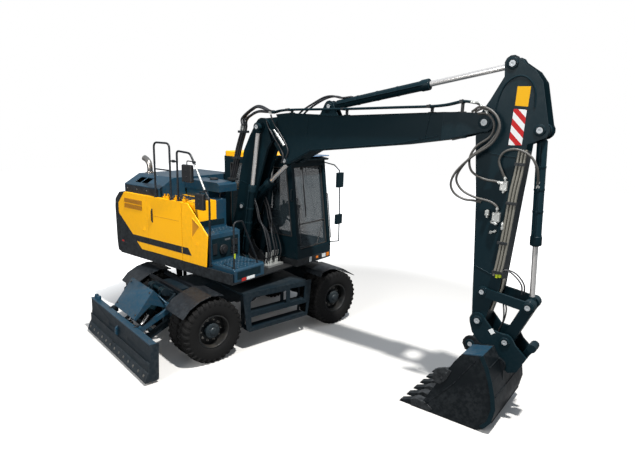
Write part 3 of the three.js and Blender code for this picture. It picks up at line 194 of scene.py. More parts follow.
# %% Dust: settles on faces that look up, in soft patches
dust_group, start, end = node_group(
    "Settled Dust",
    [("Color", COLOR, (0.1, 0.1, 0.1, 1)), ("Dust Color", COLOR, (0.35, 0.31, 0.26, 1)),
     ("Amount", FLOAT, 0.3), ("Patch Scale", FLOAT, 2.0)],
    [("Color", COLOR), ("Mask", FLOAT)],
)
where = add_node(dust_group, "ShaderNodeTexCoord")
facing = add_node(dust_group, "ShaderNodeSeparateXYZ", i0=where.outputs["Normal"]).outputs[2]
looks_up = add_node(dust_group, "ShaderNodeMapRange", i0=facing, i1=-0.2, i2=1.0, i3=0.25, i4=1.0).outputs[0]
patches = add_node(dust_group, "ShaderNodeTexNoise", Vector=where.outputs["Object"],
                   Scale=start.outputs["Patch Scale"], Detail=6.0, Roughness=0.65).outputs[0]
patches = add_node(dust_group, "ShaderNodeMapRange", i0=patches, i1=0.35, i2=0.75, i3=0.0, i4=1.0).outputs[0]
mask = math_node(dust_group, "MULTIPLY", looks_up, patches)
mask = math_node(dust_group, "MULTIPLY", mask, start.outputs["Amount"], clamp=True)
dusted = mix_color(dust_group, mask, start.outputs["Color"], start.outputs["Dust Color"])
dust_group.links.new(dusted, end.inputs["Color"])
dust_group.links.new(mask, end.inputs["Mask"])
print("group:", dust_group.name)

# %% Sprayed film: colour drift between panels, orange peel in the height
film_group, start, end = node_group(
    "Sprayed Film",
    [("Color", COLOR, (0.1, 0.1, 0.1, 1)), ("Drift", FLOAT, 0.15), ("Roughness", FLOAT, 0.4),
     ("Peel Scale", FLOAT, 260.0)],
    [("Color", COLOR), ("Roughness", FLOAT), ("Height", FLOAT)],
)
where = add_node(film_group, "ShaderNodeTexCoord").outputs["Object"]
drift = add_node(film_group, "ShaderNodeTexNoise", Vector=where, Scale=1.4, Detail=3.0).outputs[0]
drift = math_node(film_group, "MULTIPLY", math_node(film_group, "SUBTRACT", drift, 0.5),
                  start.outputs["Drift"])
gain = math_node(film_group, "ADD", drift, 1.0)
gained = add_node(film_group, "ShaderNodeVectorMath", {"operation": "SCALE"}, i0=start.outputs["Color"],
                  Scale=gain)
smears = add_node(film_group, "ShaderNodeTexNoise", Vector=where, Scale=5.0, Detail=8.0,
                  Roughness=0.7).outputs[0]
smears = math_node(film_group, "MULTIPLY", math_node(film_group, "SUBTRACT", smears, 0.5), 0.35)
peel = add_node(film_group, "ShaderNodeTexNoise", Vector=where, Scale=start.outputs["Peel Scale"], Detail=2.0)
film_group.links.new(gained.outputs[0], end.inputs["Color"])
film_group.links.new(
    math_node(film_group, "ADD", smears, start.outputs["Roughness"], clamp=True), end.inputs["Roughness"])
film_group.links.new(peel.outputs[0], end.inputs["Height"])
print("group:", film_group.name)

# %% Rubbed edges: a broken line of bare metal along the corners
edge_group, start, end = node_group(
    "Rubbed Edges",
    [("Color", COLOR, (0.1, 0.1, 0.1, 1)), ("Metal Color", COLOR, (0.3, 0.29, 0.28, 1)),
     ("Width", FLOAT, 0.06), ("Amount", FLOAT, 0.5)],
    [("Color", COLOR), ("Mask", FLOAT)],
)
edge = add_node(edge_group, "ShaderNodeNewGeometry").outputs["Pointiness"]
edge = math_node(edge_group, "DIVIDE", math_node(edge_group, "SUBTRACT", edge, 0.51), start.outputs["Width"],
                 clamp=True)
where = add_node(edge_group, "ShaderNodeTexCoord").outputs["Object"]
broken = add_node(edge_group, "ShaderNodeTexNoise", Vector=where, Scale=18.0, Detail=6.0,
                  Roughness=0.7).outputs[0]
broken = add_node(edge_group, "ShaderNodeMapRange", i0=broken, i1=0.42, i2=0.6, i3=0.0, i4=1.0).outputs[0]
mask = math_node(edge_group, "MULTIPLY", edge, broken)
mask = math_node(edge_group, "MULTIPLY", mask, start.outputs["Amount"], clamp=True)
worn = mix_color(edge_group, mask, start.outputs["Color"], start.outputs["Metal Color"])
edge_group.links.new(worn, end.inputs["Color"])
edge_group.links.new(mask, end.inputs["Mask"])
print("group:", edge_group.name)

# %% Drawn scratches: fine lines along one direction, for rods and bucket steel
scratch_group, start, end = node_group(
    "Drawn Scratches",
    [("Color", COLOR, (0.5, 0.5, 0.5, 1)), ("Stretch", VECTOR, (1.0, 1.0, 0.05)), ("Scale", FLOAT, 60.0),
     ("Depth", FLOAT, 0.3), ("Roughness", FLOAT, 0.3)],
    [("Color", COLOR), ("Roughness", FLOAT), ("Height", FLOAT)],
)
where = add_node(scratch_group, "ShaderNodeTexCoord").outputs["Object"]
drawn = add_node(scratch_group, "ShaderNodeVectorMath", {"operation": "MULTIPLY"}, i0=where,
                 i1=start.outputs["Stretch"])
lines = add_node(scratch_group, "ShaderNodeTexNoise", Vector=drawn.outputs[0], Scale=start.outputs["Scale"],
                 Detail=5.0, Roughness=0.75).outputs[0]
swing = math_node(scratch_group, "MULTIPLY", math_node(scratch_group, "SUBTRACT", lines, 0.5),
                  start.outputs["Depth"])
shaded = add_node(scratch_group, "ShaderNodeVectorMath", {"operation": "SCALE"}, i0=start.outputs["Color"],
                  Scale=math_node(scratch_group, "ADD", swing, 1.0))
scratch_group.links.new(shaded.outputs[0], end.inputs["Color"])
scratch_group.links.new(
    math_node(scratch_group, "ADD", swing, start.outputs["Roughness"], clamp=True), end.inputs["Roughness"])
scratch_group.links.new(lines, end.inputs["Height"])
print("group:", scratch_group.name)

# %% [markdown]
# ## Finishes
# The maker sprays three colours: a yellow-orange on the body panels, a dark slate on boom, arm
# and chassis, and a teal on the hood, the tanks and the blade's cover. Steel that works is bare
# or rubbed. A finish is a material with a Principled shader at its heart; the groups above feed
# its colour, roughness and bump, and everything constant is set on the shader itself.

# %% Material maker for anything sprayed


def linear(hex_color):
    """A colour written as in a paint chart, turned into the linear values a shader wants."""
    channels = [int(hex_color[i:i + 2], 16) / 255 for i in (0, 2, 4)]
    return tuple(c / 12.92 if c <= 0.04045 else ((c + 0.055) / 1.055) ** 2.4 for c in channels) + (1.0,)


def new_material(name):
    material = bpy.data.materials.new(name)
    material.use_nodes = True
    tree = material.node_tree
    return material, tree, tree.nodes["Principled BSDF"]


def place_group(tree, group, **sockets):
    node = tree.nodes.new("ShaderNodeGroup")
    node.node_tree = group
    for key, value in sockets.items():
        fill_socket(tree, node.inputs[key.replace("_", " ")], value)
    return node


def bump(tree, shader, height, strength, distance):
    node = add_node(tree, "ShaderNodeBump", Strength=strength, Distance=distance, Height=height)
    tree.links.new(node.outputs[0], shader.inputs["Normal"])


def sprayed(name, color, roughness=0.35, dust=0.25, edges=0.35, coat=0.3, dust_color="8a7d6b",
            metal_color="3c4144", drift=0.16, peel=260.0, bump_strength=0.06, shine=0.5):
    """A sprayed paint: a film of colour, its rubbed edges, and the dust that lies on it."""
    material, tree, shader = new_material(name)
    film = place_group(tree, film_group, Color=linear(color), Drift=drift, Roughness=roughness,
                       Peel_Scale=peel)
    rub = place_group(tree, edge_group, Color=film.outputs["Color"], Metal_Color=linear(metal_color),
                      Amount=edges)
    dusty = place_group(tree, dust_group, Color=rub.outputs["Color"], Dust_Color=linear(dust_color),
                        Amount=dust)
    tree.links.new(dusty.outputs["Color"], shader.inputs["Base Color"])
    rough = math_node(tree, "ADD", film.outputs["Roughness"],
                      math_node(tree, "MULTIPLY", dusty.outputs["Mask"], 0.4))
    tree.links.new(rough, shader.inputs["Roughness"])
    bump(tree, shader, film.outputs["Height"], bump_strength, 0.001)
    set_inputs(shader, Specular_IOR_Level=shine, Coat_Weight=coat, Coat_Roughness=0.12)
    return material


# %% The painted finishes
yellow = sprayed("yellow paint", "ffb606", roughness=0.34, dust=0.02, edges=0.1, coat=0.15,
                 drift=0.10, metal_color="8a6a1c", shine=0.3)
slate = sprayed("slate paint", "0a1d23", roughness=0.42, dust=0.0, coat=0.0,
                edges=0.08, shine=0.09)
slate_frame = sprayed("slate chassis paint", "0e1b22", roughness=0.42, dust=0.04, coat=0.0,
                      shine=0.15)
teal = sprayed("teal paint", "0f3446", roughness=0.38, dust=0.02, coat=0.1, shine=0.3)
blade_teal = sprayed("blade paint", "121e25", roughness=0.5, dust=0.30, edges=0.4,
                     dust_color="4a4036", coat=0.0, shine=0.2)
charcoal = sprayed("charcoal paint", "16191c", roughness=0.45, dust=0.05, coat=0.0,
                   shine=0.25)
fender_black = sprayed("fender paint", "0b1015", roughness=0.42, dust=0.02, coat=0.0,
                       shine=0.3)
hub_paint = sprayed("hub paint", "182227", roughness=0.4, dust=0.12, coat=0.0, shine=0.3)
rim_paint = sprayed("rim paint", "0d1012", roughness=0.45, dust=0.2, coat=0.0, shine=0.3)
bucket_steel = sprayed("bucket steel", "0d1215", roughness=0.45, dust=0.05, edges=0.35,
                       dust_color="2c2823", metal_color="35383a", coat=0.0, bump_strength=0.12, peel=90.0,
                       shine=0.12)
tooth_steel = sprayed("tooth steel", "101315", roughness=0.42, dust=0.04, edges=0.4,
                      dust_color="2c2823", metal_color="4a4d4f", coat=0.0, bump_strength=0.15, peel=70.0,
                      shine=0.25)
black_trim = sprayed("black trim", "0d0e10", roughness=0.55, dust=0.2, edges=0.0, coat=0.0,
                     peel=500.0, bump_strength=0.2)

# %% [markdown]
# ## Rubber, rods, hoses and glass
# Rubber is never black: the sidewall is a warm grey where road dust clings, darker in the
# grooves. A cylinder rod is hard chrome, and its seal rubs it lengthwise, so its scratches run
# along it. Hoses are rubber with a faint wrap pattern, or braided where they leave the boom.

# %% Rubber, hose and rod materials


def plain(name, color, roughness, metallic=0.0, noise_scale=80.0, depth=0.25, bump_strength=0.1,
          stretch=(1.0, 1.0, 1.0), dust=0.0, dust_color="8a7d6b", shine=0.5):
    """A solid finish whose colour and gloss vary with the drawn-scratch group."""
    material, tree, shader = new_material(name)
    drawn = place_group(tree, scratch_group, Color=linear(color), Stretch=stretch, Scale=noise_scale,
                        Depth=depth, Roughness=roughness)
    color_out = drawn.outputs["Color"]
    if dust:
        color_out = place_group(tree, dust_group, Color=color_out, Dust_Color=linear(dust_color),
                                Amount=dust, Patch_Scale=4.0).outputs["Color"]
    tree.links.new(color_out, shader.inputs["Base Color"])
    tree.links.new(drawn.outputs["Roughness"], shader.inputs["Roughness"])
    set_inputs(shader, Metallic=metallic, Specular_IOR_Level=shine)
    bump(tree, shader, drawn.outputs["Height"], bump_strength, 0.001)
    return material


tyre_rubber = plain("tyre rubber", "0f0f0f", 0.85, noise_scale=30.0, depth=0.5, shine=0.2,
                    bump_strength=0.3, dust=0.03, dust_color="6a5d50")
chrome = plain("chrome rod", "e2deda", 0.18, metallic=0.8, stretch=(1.0, 1.0, 0.03), depth=0.12,
               bump_strength=0.02)
bare_steel = plain("bare steel", "8f8d88", 0.38, metallic=1.0, noise_scale=40.0, dust=0.25)
cap_steel = plain("pin cap steel", "9fa3a5", 0.55, metallic=0.35, noise_scale=50.0, depth=0.15)
exhaust_steel = plain("exhaust steel", "a7a19a", 0.25, metallic=1.0, noise_scale=25.0,
                      depth=0.3)
hose_rubber = plain("hose rubber", "15171a", 0.5, noise_scale=220.0, depth=0.5,
                    bump_strength=0.3)
braided_hose = plain("braided hose", "45433f", 0.55, noise_scale=300.0, depth=0.8,
                     bump_strength=0.5)
beige_pipe = plain("painted steel pipe", "7d7a70", 0.38, metallic=0.3, noise_scale=60.0)
fitting_steel = plain("plated fitting", "b0b1ad", 0.36, metallic=0.65, noise_scale=120.0)
black_plastic = plain("black plastic", "121315", 0.5, noise_scale=400.0, bump_strength=0.15)
seat_cloth = plain("seat cloth", "202327", 0.9, noise_scale=500.0, depth=0.6, bump_strength=0.4)
engine_cast = plain("engine casting", "2a2b2d", 0.6, noise_scale=30.0, bump_strength=0.3)
grey_plastic = plain("grey trim", "4b4e51", 0.6, noise_scale=300.0)
lime_sleeve = plain("lime sleeve", "a8b81c", 0.6, noise_scale=200.0, depth=0.4)
plate_yellow = plain("plain yellow plate", "d09a00", 0.5, noise_scale=60.0, depth=0.1,
                     shine=0.15)
red_lens = plain("red lens", "a51b12", 0.15, noise_scale=90.0, depth=0.2)
amber_lens = plain("amber lens", "d9750c", 0.15, noise_scale=90.0, depth=0.2)
white_lens = plain("white lens", "d6d8d6", 0.12, noise_scale=90.0, depth=0.15)

# %% Glass: clear, with a faint tint


def glazing(name, color, alpha, roughness=0.03):
    material, tree, shader = new_material(name)
    where = add_node(tree, "ShaderNodeTexCoord").outputs["Object"]
    film = add_node(tree, "ShaderNodeTexNoise", Vector=where, Scale=3.0, Detail=4.0).outputs[0]
    shade = mix_color(tree, math_node(tree, "MULTIPLY", film, 0.15), linear(color), linear("8e9a9c"))
    tree.links.new(shade, shader.inputs["Base Color"])
    haze = math_node(tree, "ADD", math_node(tree, "MULTIPLY", film, 0.06), alpha - 0.03)
    tree.links.new(haze, shader.inputs["Alpha"])
    set_inputs(shader, Roughness=roughness, IOR=1.5)
    material.surface_render_method = "BLENDED"
    return material


cab_glass_look = glazing("cab glass", "222e34", 0.52)
mirror_look = plain("mirror", "c9d2d6", 0.04, metallic=1.0, depth=0.02, bump_strength=0.0)

# %% [markdown]
# ## Hazard stripes
# The plate on the arm carries slanting red and white bands, which warn people of the swinging
# arm. A picture of stripes would need an image, so the bands are worked out: the height and the
# depth of a point are added up, and the sum is folded into two equal steps.

# %% Stripe material
stripe_pitch = 0.16


def hazard_stripes():
    material, tree, shader = new_material("hazard stripes")
    where = add_node(tree, "ShaderNodeTexCoord").outputs["Object"]
    parts = add_node(tree, "ShaderNodeSeparateXYZ", i0=where)
    slant = math_node(tree, "ADD", parts.outputs[0], parts.outputs[2])
    fold = math_node(tree, "FRACT", math_node(tree, "DIVIDE", slant, stripe_pitch))
    band = math_node(tree, "GREATER_THAN", fold, 0.5)
    color = mix_color(tree, band, linear("a80f12"), linear("cfcfcd"))
    dusty = place_group(tree, dust_group, Color=color, Amount=0.02)
    tree.links.new(dusty.outputs["Color"], shader.inputs["Base Color"])
    set_inputs(shader, Roughness=0.45, Specular_IOR_Level=0.15)
    return material


hazard_look = hazard_stripes()

# %% [markdown]
# ## A pale studio
# One small, high lamp stands in for the sun and gives the shadow its edge. A large one beside the
# camera fills the near side, and the world lights the rest. To the camera the floor is white: it
# has a paler colour there, and it glows further out, where the lamp is weak. To the light it is a
# plain grey floor. Polished parts mirror a share of the white backdrop, or they would look black.

# %% Floor, world and lamps
studio_size, floor_gap = 60.0, 0.002
FLOOR_WHITE = (0.60, 0.58, 0.55, 1.0)     # as the camera sees it
GROUND_GREY = (0.20, 0.20, 0.20, 1.0)     # as the light and the reflections see it
WHITE = (1, 1, 1, 1)
floor_middle = (2.0, 0.5, 0.0)            # the floor's own glow grows from here outward
floor_lift, fade_start, fade_end = 0.03, 4.2, 6.8


def mesh_object(name, bm):
    """Turns the mesh editor's work into an object in the scene."""
    mesh = bpy.data.meshes.new(name)
    bm.to_mesh(mesh)
    bm.free()
    made = bpy.data.objects.new(name, mesh)
    bpy.context.scene.collection.objects.link(made)
    return made


def studio_floor():
    bm = bmesh.new()
    half = studio_size / 2
    corners = ((-half, -half), (half, -half), (half, half), (-half, half))
    bm.faces.new([bm.verts.new((x, y, -floor_gap)) for x, y in corners])
    floor = mesh_object("floor", bm)
    material = bpy.data.materials.new("floor")
    material.use_nodes = True
    tree = material.node_tree
    shader = tree.nodes["Principled BSDF"]
    set_inputs(shader, Roughness=0.9, Specular_IOR_Level=0.1, Emission_Color=WHITE)
    seen = tree.nodes.new("ShaderNodeLightPath").outputs["Is Camera Ray"]
    tree.links.new(mix_color(tree, seen, GROUND_GREY, FLOOR_WHITE), shader.inputs["Base Color"])
    where = add_node(tree, "ShaderNodeTexCoord").outputs["Object"]
    away = add_node(tree, "ShaderNodeVectorMath", {"operation": "DISTANCE"}, i0=where, i1=floor_middle)
    fade = add_node(tree, "ShaderNodeMapRange", {"interpolation_type": "SMOOTHSTEP"},
                    i0=away.outputs["Value"], i1=fade_start, i2=fade_end, i3=floor_lift, i4=1.0).outputs[0]
    tree.links.new(math_node(tree, "MULTIPLY", seen, fade), shader.inputs["Emission Strength"])
    floor.data.materials.append(material)


HORIZON = (0.27, 0.28, 0.29, 1.0)         # the sky as the light sees it
ZENITH = (0.34, 0.40, 0.48, 1.0)
glossy_share = 0.25                       # how much of the white backdrop the polished parts mirror


def studio_world():
    world = bpy.data.worlds.new("studio")
    bpy.context.scene.world = world
    world.use_nodes = True
    tree = world.node_tree
    background = tree.nodes["Background"]
    light_path = tree.nodes.new("ShaderNodeLightPath")
    seen = math_node(tree, "MAXIMUM", light_path.outputs["Is Camera Ray"],
                     light_path.outputs["Is Transmission Ray"])
    mirrored = math_node(tree, "MULTIPLY", light_path.outputs["Is Glossy Ray"], glossy_share)
    seen = math_node(tree, "MAXIMUM", seen, mirrored)
    way = add_node(tree, "ShaderNodeTexCoord").outputs["Generated"]
    height = add_node(tree, "ShaderNodeSeparateXYZ", i0=way).outputs[2]
    height = add_node(tree, "ShaderNodeMapRange", i0=height, i1=0.0, i2=0.8, i3=0.0, i4=1.0).outputs[0]
    sky = mix_color(tree, height, HORIZON, ZENITH)
    tree.links.new(mix_color(tree, seen, sky, WHITE), background.inputs["Color"])
    background.inputs["Strength"].default_value = 1.0


def soft_lamp(name, spot, aim, size, power):
    lamp = bpy.data.objects.new(name, bpy.data.lights.new(name, "AREA"))
    lamp.data.shape = "DISK"
    lamp.data.size = size
    lamp.data.energy = power
    lamp.location = spot
    lamp.rotation_mode = "QUATERNION"
    lamp.rotation_quaternion = (Vector(aim) - Vector(spot)).to_track_quat("-Z", "Y")
    bpy.context.scene.collection.objects.link(lamp)


studio_floor()
studio_world()
machine_middle = (1.4, -0.3, 1.4)
soft_lamp("sky_lamp", spot=(7.2, -2.7, 15.5), aim=machine_middle, size=0.6, power=4300)
soft_lamp("camera_lamp", spot=(2.0, -13.0, 6.5), aim=machine_middle, size=6.0, power=980)
bpy.context.scene.view_settings.view_transform = "Standard"
print("studio ready")

# %% [markdown]
# ## Tools for making pieces
# Every piece is built with bmesh, Blender's mesh editor for scripts: shapes are added to one
# mesh, the mesh becomes an object, a bevel rounds its hard edges, and the object is tied to a
# body. Real steel plate has no knife edges; the thin highlight on a rounded edge is what tells
# the eye that a thing is made, so nearly every piece has its bevel.

# %% Shape tools


def turn_angles(count):
    """The angles of a full turn in equal steps."""
    return [2 * math.pi * k / count for k in range(count)]


def add_prism(bm, outline, near, far, axes=(0, 2, 1)):
    """An outline of (u, v) points, thick from near to far; axes says which of x, y, z are u, v and depth."""
    def place(u, v, depth):
        spot = [0.0, 0.0, 0.0]
        spot[axes[0]], spot[axes[1]], spot[axes[2]] = u, v, depth
        return bm.verts.new(spot)
    front = [place(u, v, near) for u, v in outline]
    back = [place(u, v, far) for u, v in outline]
    faces = [bm.faces.new(front), bm.faces.new(back[::-1])]
    count = len(outline)
    for i in range(count):
        j = (i + 1) % count
        faces.append(bm.faces.new((front[j], front[i], back[i], back[j])))
    bmesh.ops.recalc_face_normals(bm, faces=faces)


def add_block(bm, low, high):
    outline = [(low[0], low[2]), (high[0], low[2]), (high[0], high[2]), (low[0], high[2])]
    add_prism(bm, outline, low[1], high[1])


def ring_frame(way):
    """Two directions square to a way and to each other."""
    way = Vector(way).normalized()
    across = Vector((0, 0, 1)) if abs(way.z) < 0.9 else Vector((1, 0, 0))
    across = (across - way * across.dot(way)).normalized()
    return across, way.cross(across)


def add_turned(bm, foot, way, profile, count=32):
    """A turned shape: (radius, distance along the way) points, closed where the radius is 0."""
    foot, way = Vector(foot), Vector(way).normalized()
    across, along = ring_frame(way)
    rings = []
    for radius, distance in profile:
        centre = foot + way * distance
        if radius < 1e-6:
            rings.append([bm.verts.new(centre)])
            continue
        rings.append([
            bm.verts.new(centre + radius * (across * math.cos(a) + along * math.sin(a)))
            for a in turn_angles(count)
        ])
    faces = []
    for lower, upper in zip(rings, rings[1:]):
        for k in range(count):
            m = (k + 1) % count
            if len(lower) == 1 and len(upper) == 1:
                continue
            if len(lower) == 1:
                faces.append(bm.faces.new((lower[0], upper[m], upper[k])))
            elif len(upper) == 1:
                faces.append(bm.faces.new((lower[k], lower[m], upper[0])))
            else:
                faces.append(bm.faces.new((lower[k], lower[m], upper[m], upper[k])))
    bmesh.ops.recalc_face_normals(bm, faces=faces)


def drum(radius, height):
    """The profile of a plain round block."""
    return [(0, 0), (radius, 0), (radius, height), (0, height)]


def add_rod(bm, foot, tip, radius, count=20):
    foot, tip = Vector(foot), Vector(tip)
    add_turned(bm, foot, tip - foot, drum(radius, (tip - foot).length), count)


def add_rod_loop(bm, spots, radius, count=8):
    """Straight rods from each spot to the next, and back to the first."""
    for a, b in zip(spots, spots[1:] + spots[:1]):
        add_rod(bm, a, b, radius, count)


def smooth_path(points, steps=8):
    """A soft curve through the points, for hoses."""
    points = [Vector(p) for p in points]
    padded = [points[0] * 2 - points[1]] + points + [points[-1] * 2 - points[-2]]
    path = []
    for i in range(1, len(padded) - 2):
        a, b, c, d = padded[i - 1:i + 3]
        for k in range(steps):
            t = k / steps
            path.append(0.5 * (2 * b + (c - a) * t + (2 * a - 5 * b + 4 * c - d) * t * t
                               + (3 * b - a - 3 * c + d) * t ** 3))
    return path + [points[-1]]


def bent_path(points, bend, steps=5):
    """Straight runs with rounded corners, for bent steel pipe."""
    points = [Vector(p) for p in points]
    path = [points[0]]
    for before, corner_point, after in zip(points, points[1:], points[2:]):
        back, on = (before - corner_point), (after - corner_point)
        cut = min(bend, back.length * 0.45, on.length * 0.45)
        enter, leave = corner_point + back.normalized() * cut, corner_point + on.normalized() * cut
        for k in range(steps + 1):
            t = k / steps
            path.append(enter * (1 - t) ** 2 + corner_point * 2 * t * (1 - t) + leave * t * t)
    return path + [points[-1]]


def add_tube(bm, path, radius, count=10):
    """A round tube along a path, with closed ends."""
    path = [Vector(p) for p in path]
    across, _ = ring_frame(path[1] - path[0])
    rings = []
    for i, spot in enumerate(path):
        way = (path[min(i + 1, len(path) - 1)] - path[max(i - 1, 0)]).normalized()
        across = (across - way * across.dot(way)).normalized()
        side = way.cross(across)
        rings.append([bm.verts.new(spot + radius * (across * math.cos(a) + side * math.sin(a)))
                      for a in turn_angles(count)])
    faces = [bm.faces.new(rings[0][::-1]), bm.faces.new(rings[-1])]
    for lower, upper in zip(rings, rings[1:]):
        for k in range(count):
            m = (k + 1) % count
            faces.append(bm.faces.new((lower[k], lower[m], upper[m], upper[k])))
    bmesh.ops.recalc_face_normals(bm, faces=faces)


def add_bolts(bm, spots, way, radius=0.011, height=0.008):
    """Hexagon heads on thin washers."""
    for spot in spots:
        add_turned(bm, spot, way, drum(radius * 1.5, height * 0.25), 14)
        head = [(0, 0), (radius, 0), (radius, height * 0.85), (radius * 0.8, height), (0, height)]
        add_turned(bm, spot, way, head, 6)


# %% From mesh to finished piece
piece_count = {"pieces": 0}


def make_piece(name, build, body, finish, turn=upright, bevel=0.004, segments=2, smooth=40.0, replaces=()):
    """Builds a mesh, turns it into the row frame, rounds it, paints it and ties it to a body."""
    bm = bmesh.new()
    build(bm)
    bm.transform(turn)
    dress(mesh_object(name, bm), body, finish, bevel, segments, smooth, replaces)


def block_maker(low, high):
    return lambda bm: add_block(bm, low, high)


def dress(piece, body, finish, bevel, segments, smooth, replaces=()):
    """Paints a piece, rounds its hard edges and ties it to its body."""
    piece.data.materials.clear()
    piece.data.materials.append(finish)
    piece.data.shade_smooth()
    piece.data.set_sharp_from_angle(angle=math.radians(smooth))
    if bevel:
        rounding = piece.modifiers.new("rounded edges", "BEVEL")
        rounding.width = bevel
        rounding.segments = segments
        rounding.limit_method = "ANGLE"
        rounding.angle_limit = math.radians(smooth)
        rounding.harden_normals = True
    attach(piece, body)
    if replaces:
        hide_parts(*replaces)
    piece_count["pieces"] += 1


def rounded_copy(node, finish, bevel):
    """A solid's own shape with rounded edges, standing in for it."""
    source = frame["nodes"][node]
    bm = bmesh.new()
    bm.from_mesh(source.data)
    bmesh.ops.remove_doubles(bm, verts=bm.verts, dist=2e-5)
    bmesh.ops.dissolve_limit(bm, angle_limit=math.radians(1.0), verts=bm.verts, edges=bm.edges)
    dress(mesh_object(node + "_dress", bm), source["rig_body"], finish, bevel, 2, 34.0, replaces=(node,))


print("tools ready")

# %% [markdown]
# ## Plates that keep their shape
# Boom, arm, frames and panels are welded plate, and their solids already have the right outline.
# Modelling them again would add nothing; what they lack is the small radius that every cut and
# welded edge has. So each one is copied, its flat faces are joined up, and a bevel runs along
# its hard edges. The copy then stands in for the solid.

# %% Rounded copies of the welded and pressed parts
plate_finishes = [
    (slate_frame, 0.006, ["chassis_frame", "right_step_frame", "left_step_frame", "rear_axle", "front_axle",
                          "blade_lower_arms"]),
    (fender_black, 0.003, ["rear_fenders", "right_knuckle", "left_knuckle"]),
    (blade_teal, 0.005, ["dozer_blade"]),
    (teal, 0.006, ["blade_upper_link", "hydraulic_tank", "fuel_tank"]),
    (teal, 0.014, ["engine_hood"]),
    (charcoal, 0.010, ["upper_frame"]),
    (charcoal, 0.030, ["counterweight"]),
    (yellow, 0.007, ["right_rear_panel", "right_door", "right_front_panel", "left_panel", "left_door",
                     "top_cover"]),
    (engine_cast, 0.020, ["engine_block"]),
    (slate, 0.012, ["cab_shell"]),
    (slate, 0.005, ["cab_door"]),
    (slate, 0.007, ["lower_boom", "upper_boom", "arm", "bucket_levers", "h_link", "quick_coupler"]),
    (bucket_steel, 0.006, ["bucket"]),
    (black_plastic, 0.012, ["cab_interior"]),
]
for finish, radius, nodes in plate_finishes:
    for node in nodes:
        rounded_copy(node, finish, radius)
for node in ("cab_glass", "door_glass"):
    frame["nodes"][node].data.materials.clear()
    frame["nodes"][node].data.materials.append(cab_glass_look)
frame["nodes"]["slew_ring"].data.materials.clear()
frame["nodes"]["slew_ring"].data.materials.append(bare_steel)
print("rounded copies:", piece_count["pieces"])

# %% [markdown]
# ## Twin tyres
# Each wheel carries two narrow tyres side by side. A tyre is a turned shape: the profile climbs
# from the bead over a full sidewall to the tread, and is swept round the axle. The tread is
# made of separate rubber lugs that reach over the shoulder, because their steps catch the light
# in a way that a bump texture can't at the outline of the wheel.

# %% Tyre profile and lugs
tyre_offset = 0.160     # from the middle of the wheel to the middle of each tyre
tyre_profile = [(0.256, -0.098), (0.276, -0.112), (0.300, -0.126), (0.345, -0.135), (0.400, -0.137),
                (0.450, -0.132), (0.480, -0.120), (0.496, -0.100), (0.500, -0.060), (0.502, 0.0)]
tyre_profile += [(r, -y) for r, y in tyre_profile[-2::-1]]
lug_rows = 32
lug_sections = [(0.012, 0.494, 0.516), (0.060, 0.492, 0.517), (0.104, 0.486, 0.512), (0.128, 0.462, 0.490),
                (0.137, 0.430, 0.452)]


def add_lug(bm, middle, side, angle):
    """One tread block: it leans forward as it runs from the crown over the shoulder."""
    rings = []
    for step, (reach, low, high) in enumerate(lug_sections):
        lean = 0.018 * step
        half = 0.046 if step < 3 else 0.040
        ring = []
        for turn, radius in ((-half, low), (half, low), (half * 0.86, high), (-half * 0.86, high)):
            a = angle + (turn + lean) * 1.05
            width = reach if radius == low else reach + (0.004 if step > 2 else 0.0)
            ring.append(bm.verts.new((radius * math.sin(a), middle + side * width, radius * math.cos(a))))
        rings.append(ring)
    faces = [bm.faces.new(rings[0]), bm.faces.new(rings[-1][::-1])]
    for lower, upper in zip(rings, rings[1:]):
        for k in range(4):
            m = (k + 1) % 4
            faces.append(bm.faces.new((lower[m], lower[k], upper[k], upper[m])))
    bmesh.ops.recalc_face_normals(bm, faces=faces)


def build_tyres(bm):
    for middle in (-tyre_offset, tyre_offset):
        add_turned_ring(bm, middle, tyre_profile)
        for side in sides:
            for k in range(lug_rows):
                angle = 2 * math.pi * (k + (0.5 if side > 0 else 0.0)) / lug_rows
                add_lug(bm, middle, side, angle)
    spacer = [(0.256, -0.064), (0.270, -0.064), (0.270, 0.064), (0.256, 0.064)]
    add_turned_ring(bm, 0.0, spacer)


def add_turned_ring(bm, middle, profile, count=72):
    """A closed ring about the Y axis."""
    loops = []
    for radius, y in profile:
        loops.append([bm.verts.new((radius * math.sin(a), middle + y, radius * math.cos(a)))
                      for a in turn_angles(count)])
    faces = []
    for i, lower in enumerate(loops):
        upper = loops[(i + 1) % len(loops)]
        for k in range(count):
            m = (k + 1) % count
            faces.append(bm.faces.new((lower[k], lower[m], upper[m], upper[k])))
    bmesh.ops.recalc_face_normals(bm, faces=faces)


# %% [markdown]
# ## Rims and hubs
# The rim is a deep dish: a dark barrel, a disc set near the outer tyre, a ring of wheel nuts and
# the drum of the hub gear, which is painted lighter. All of it is turned, apart from the nuts.

# %% Rims, hub drums and wheel nuts
nut_circle, nut_count = 0.172, 10


def build_rim(bm):
    wall_in, wall_out = 0.2535, 0.240
    add_turned_ring(bm, 0.0, [
        (wall_in, -0.258), (0.268, -0.262), (0.272, -0.272), (0.266, -0.276), (wall_out, -0.272),
        (wall_out, 0.245), (0.246, 0.262), (0.252, 0.2745), (0.262, 0.2755), (0.271, 0.272), (0.271, 0.262),
        (wall_in, 0.258)])
    add_turned_ring(bm, 0.0, [(0.130, 0.125), (0.244, 0.125), (0.244, 0.140), (0.214, 0.142), (0.196, 0.146),
                              (0.130, 0.146)])


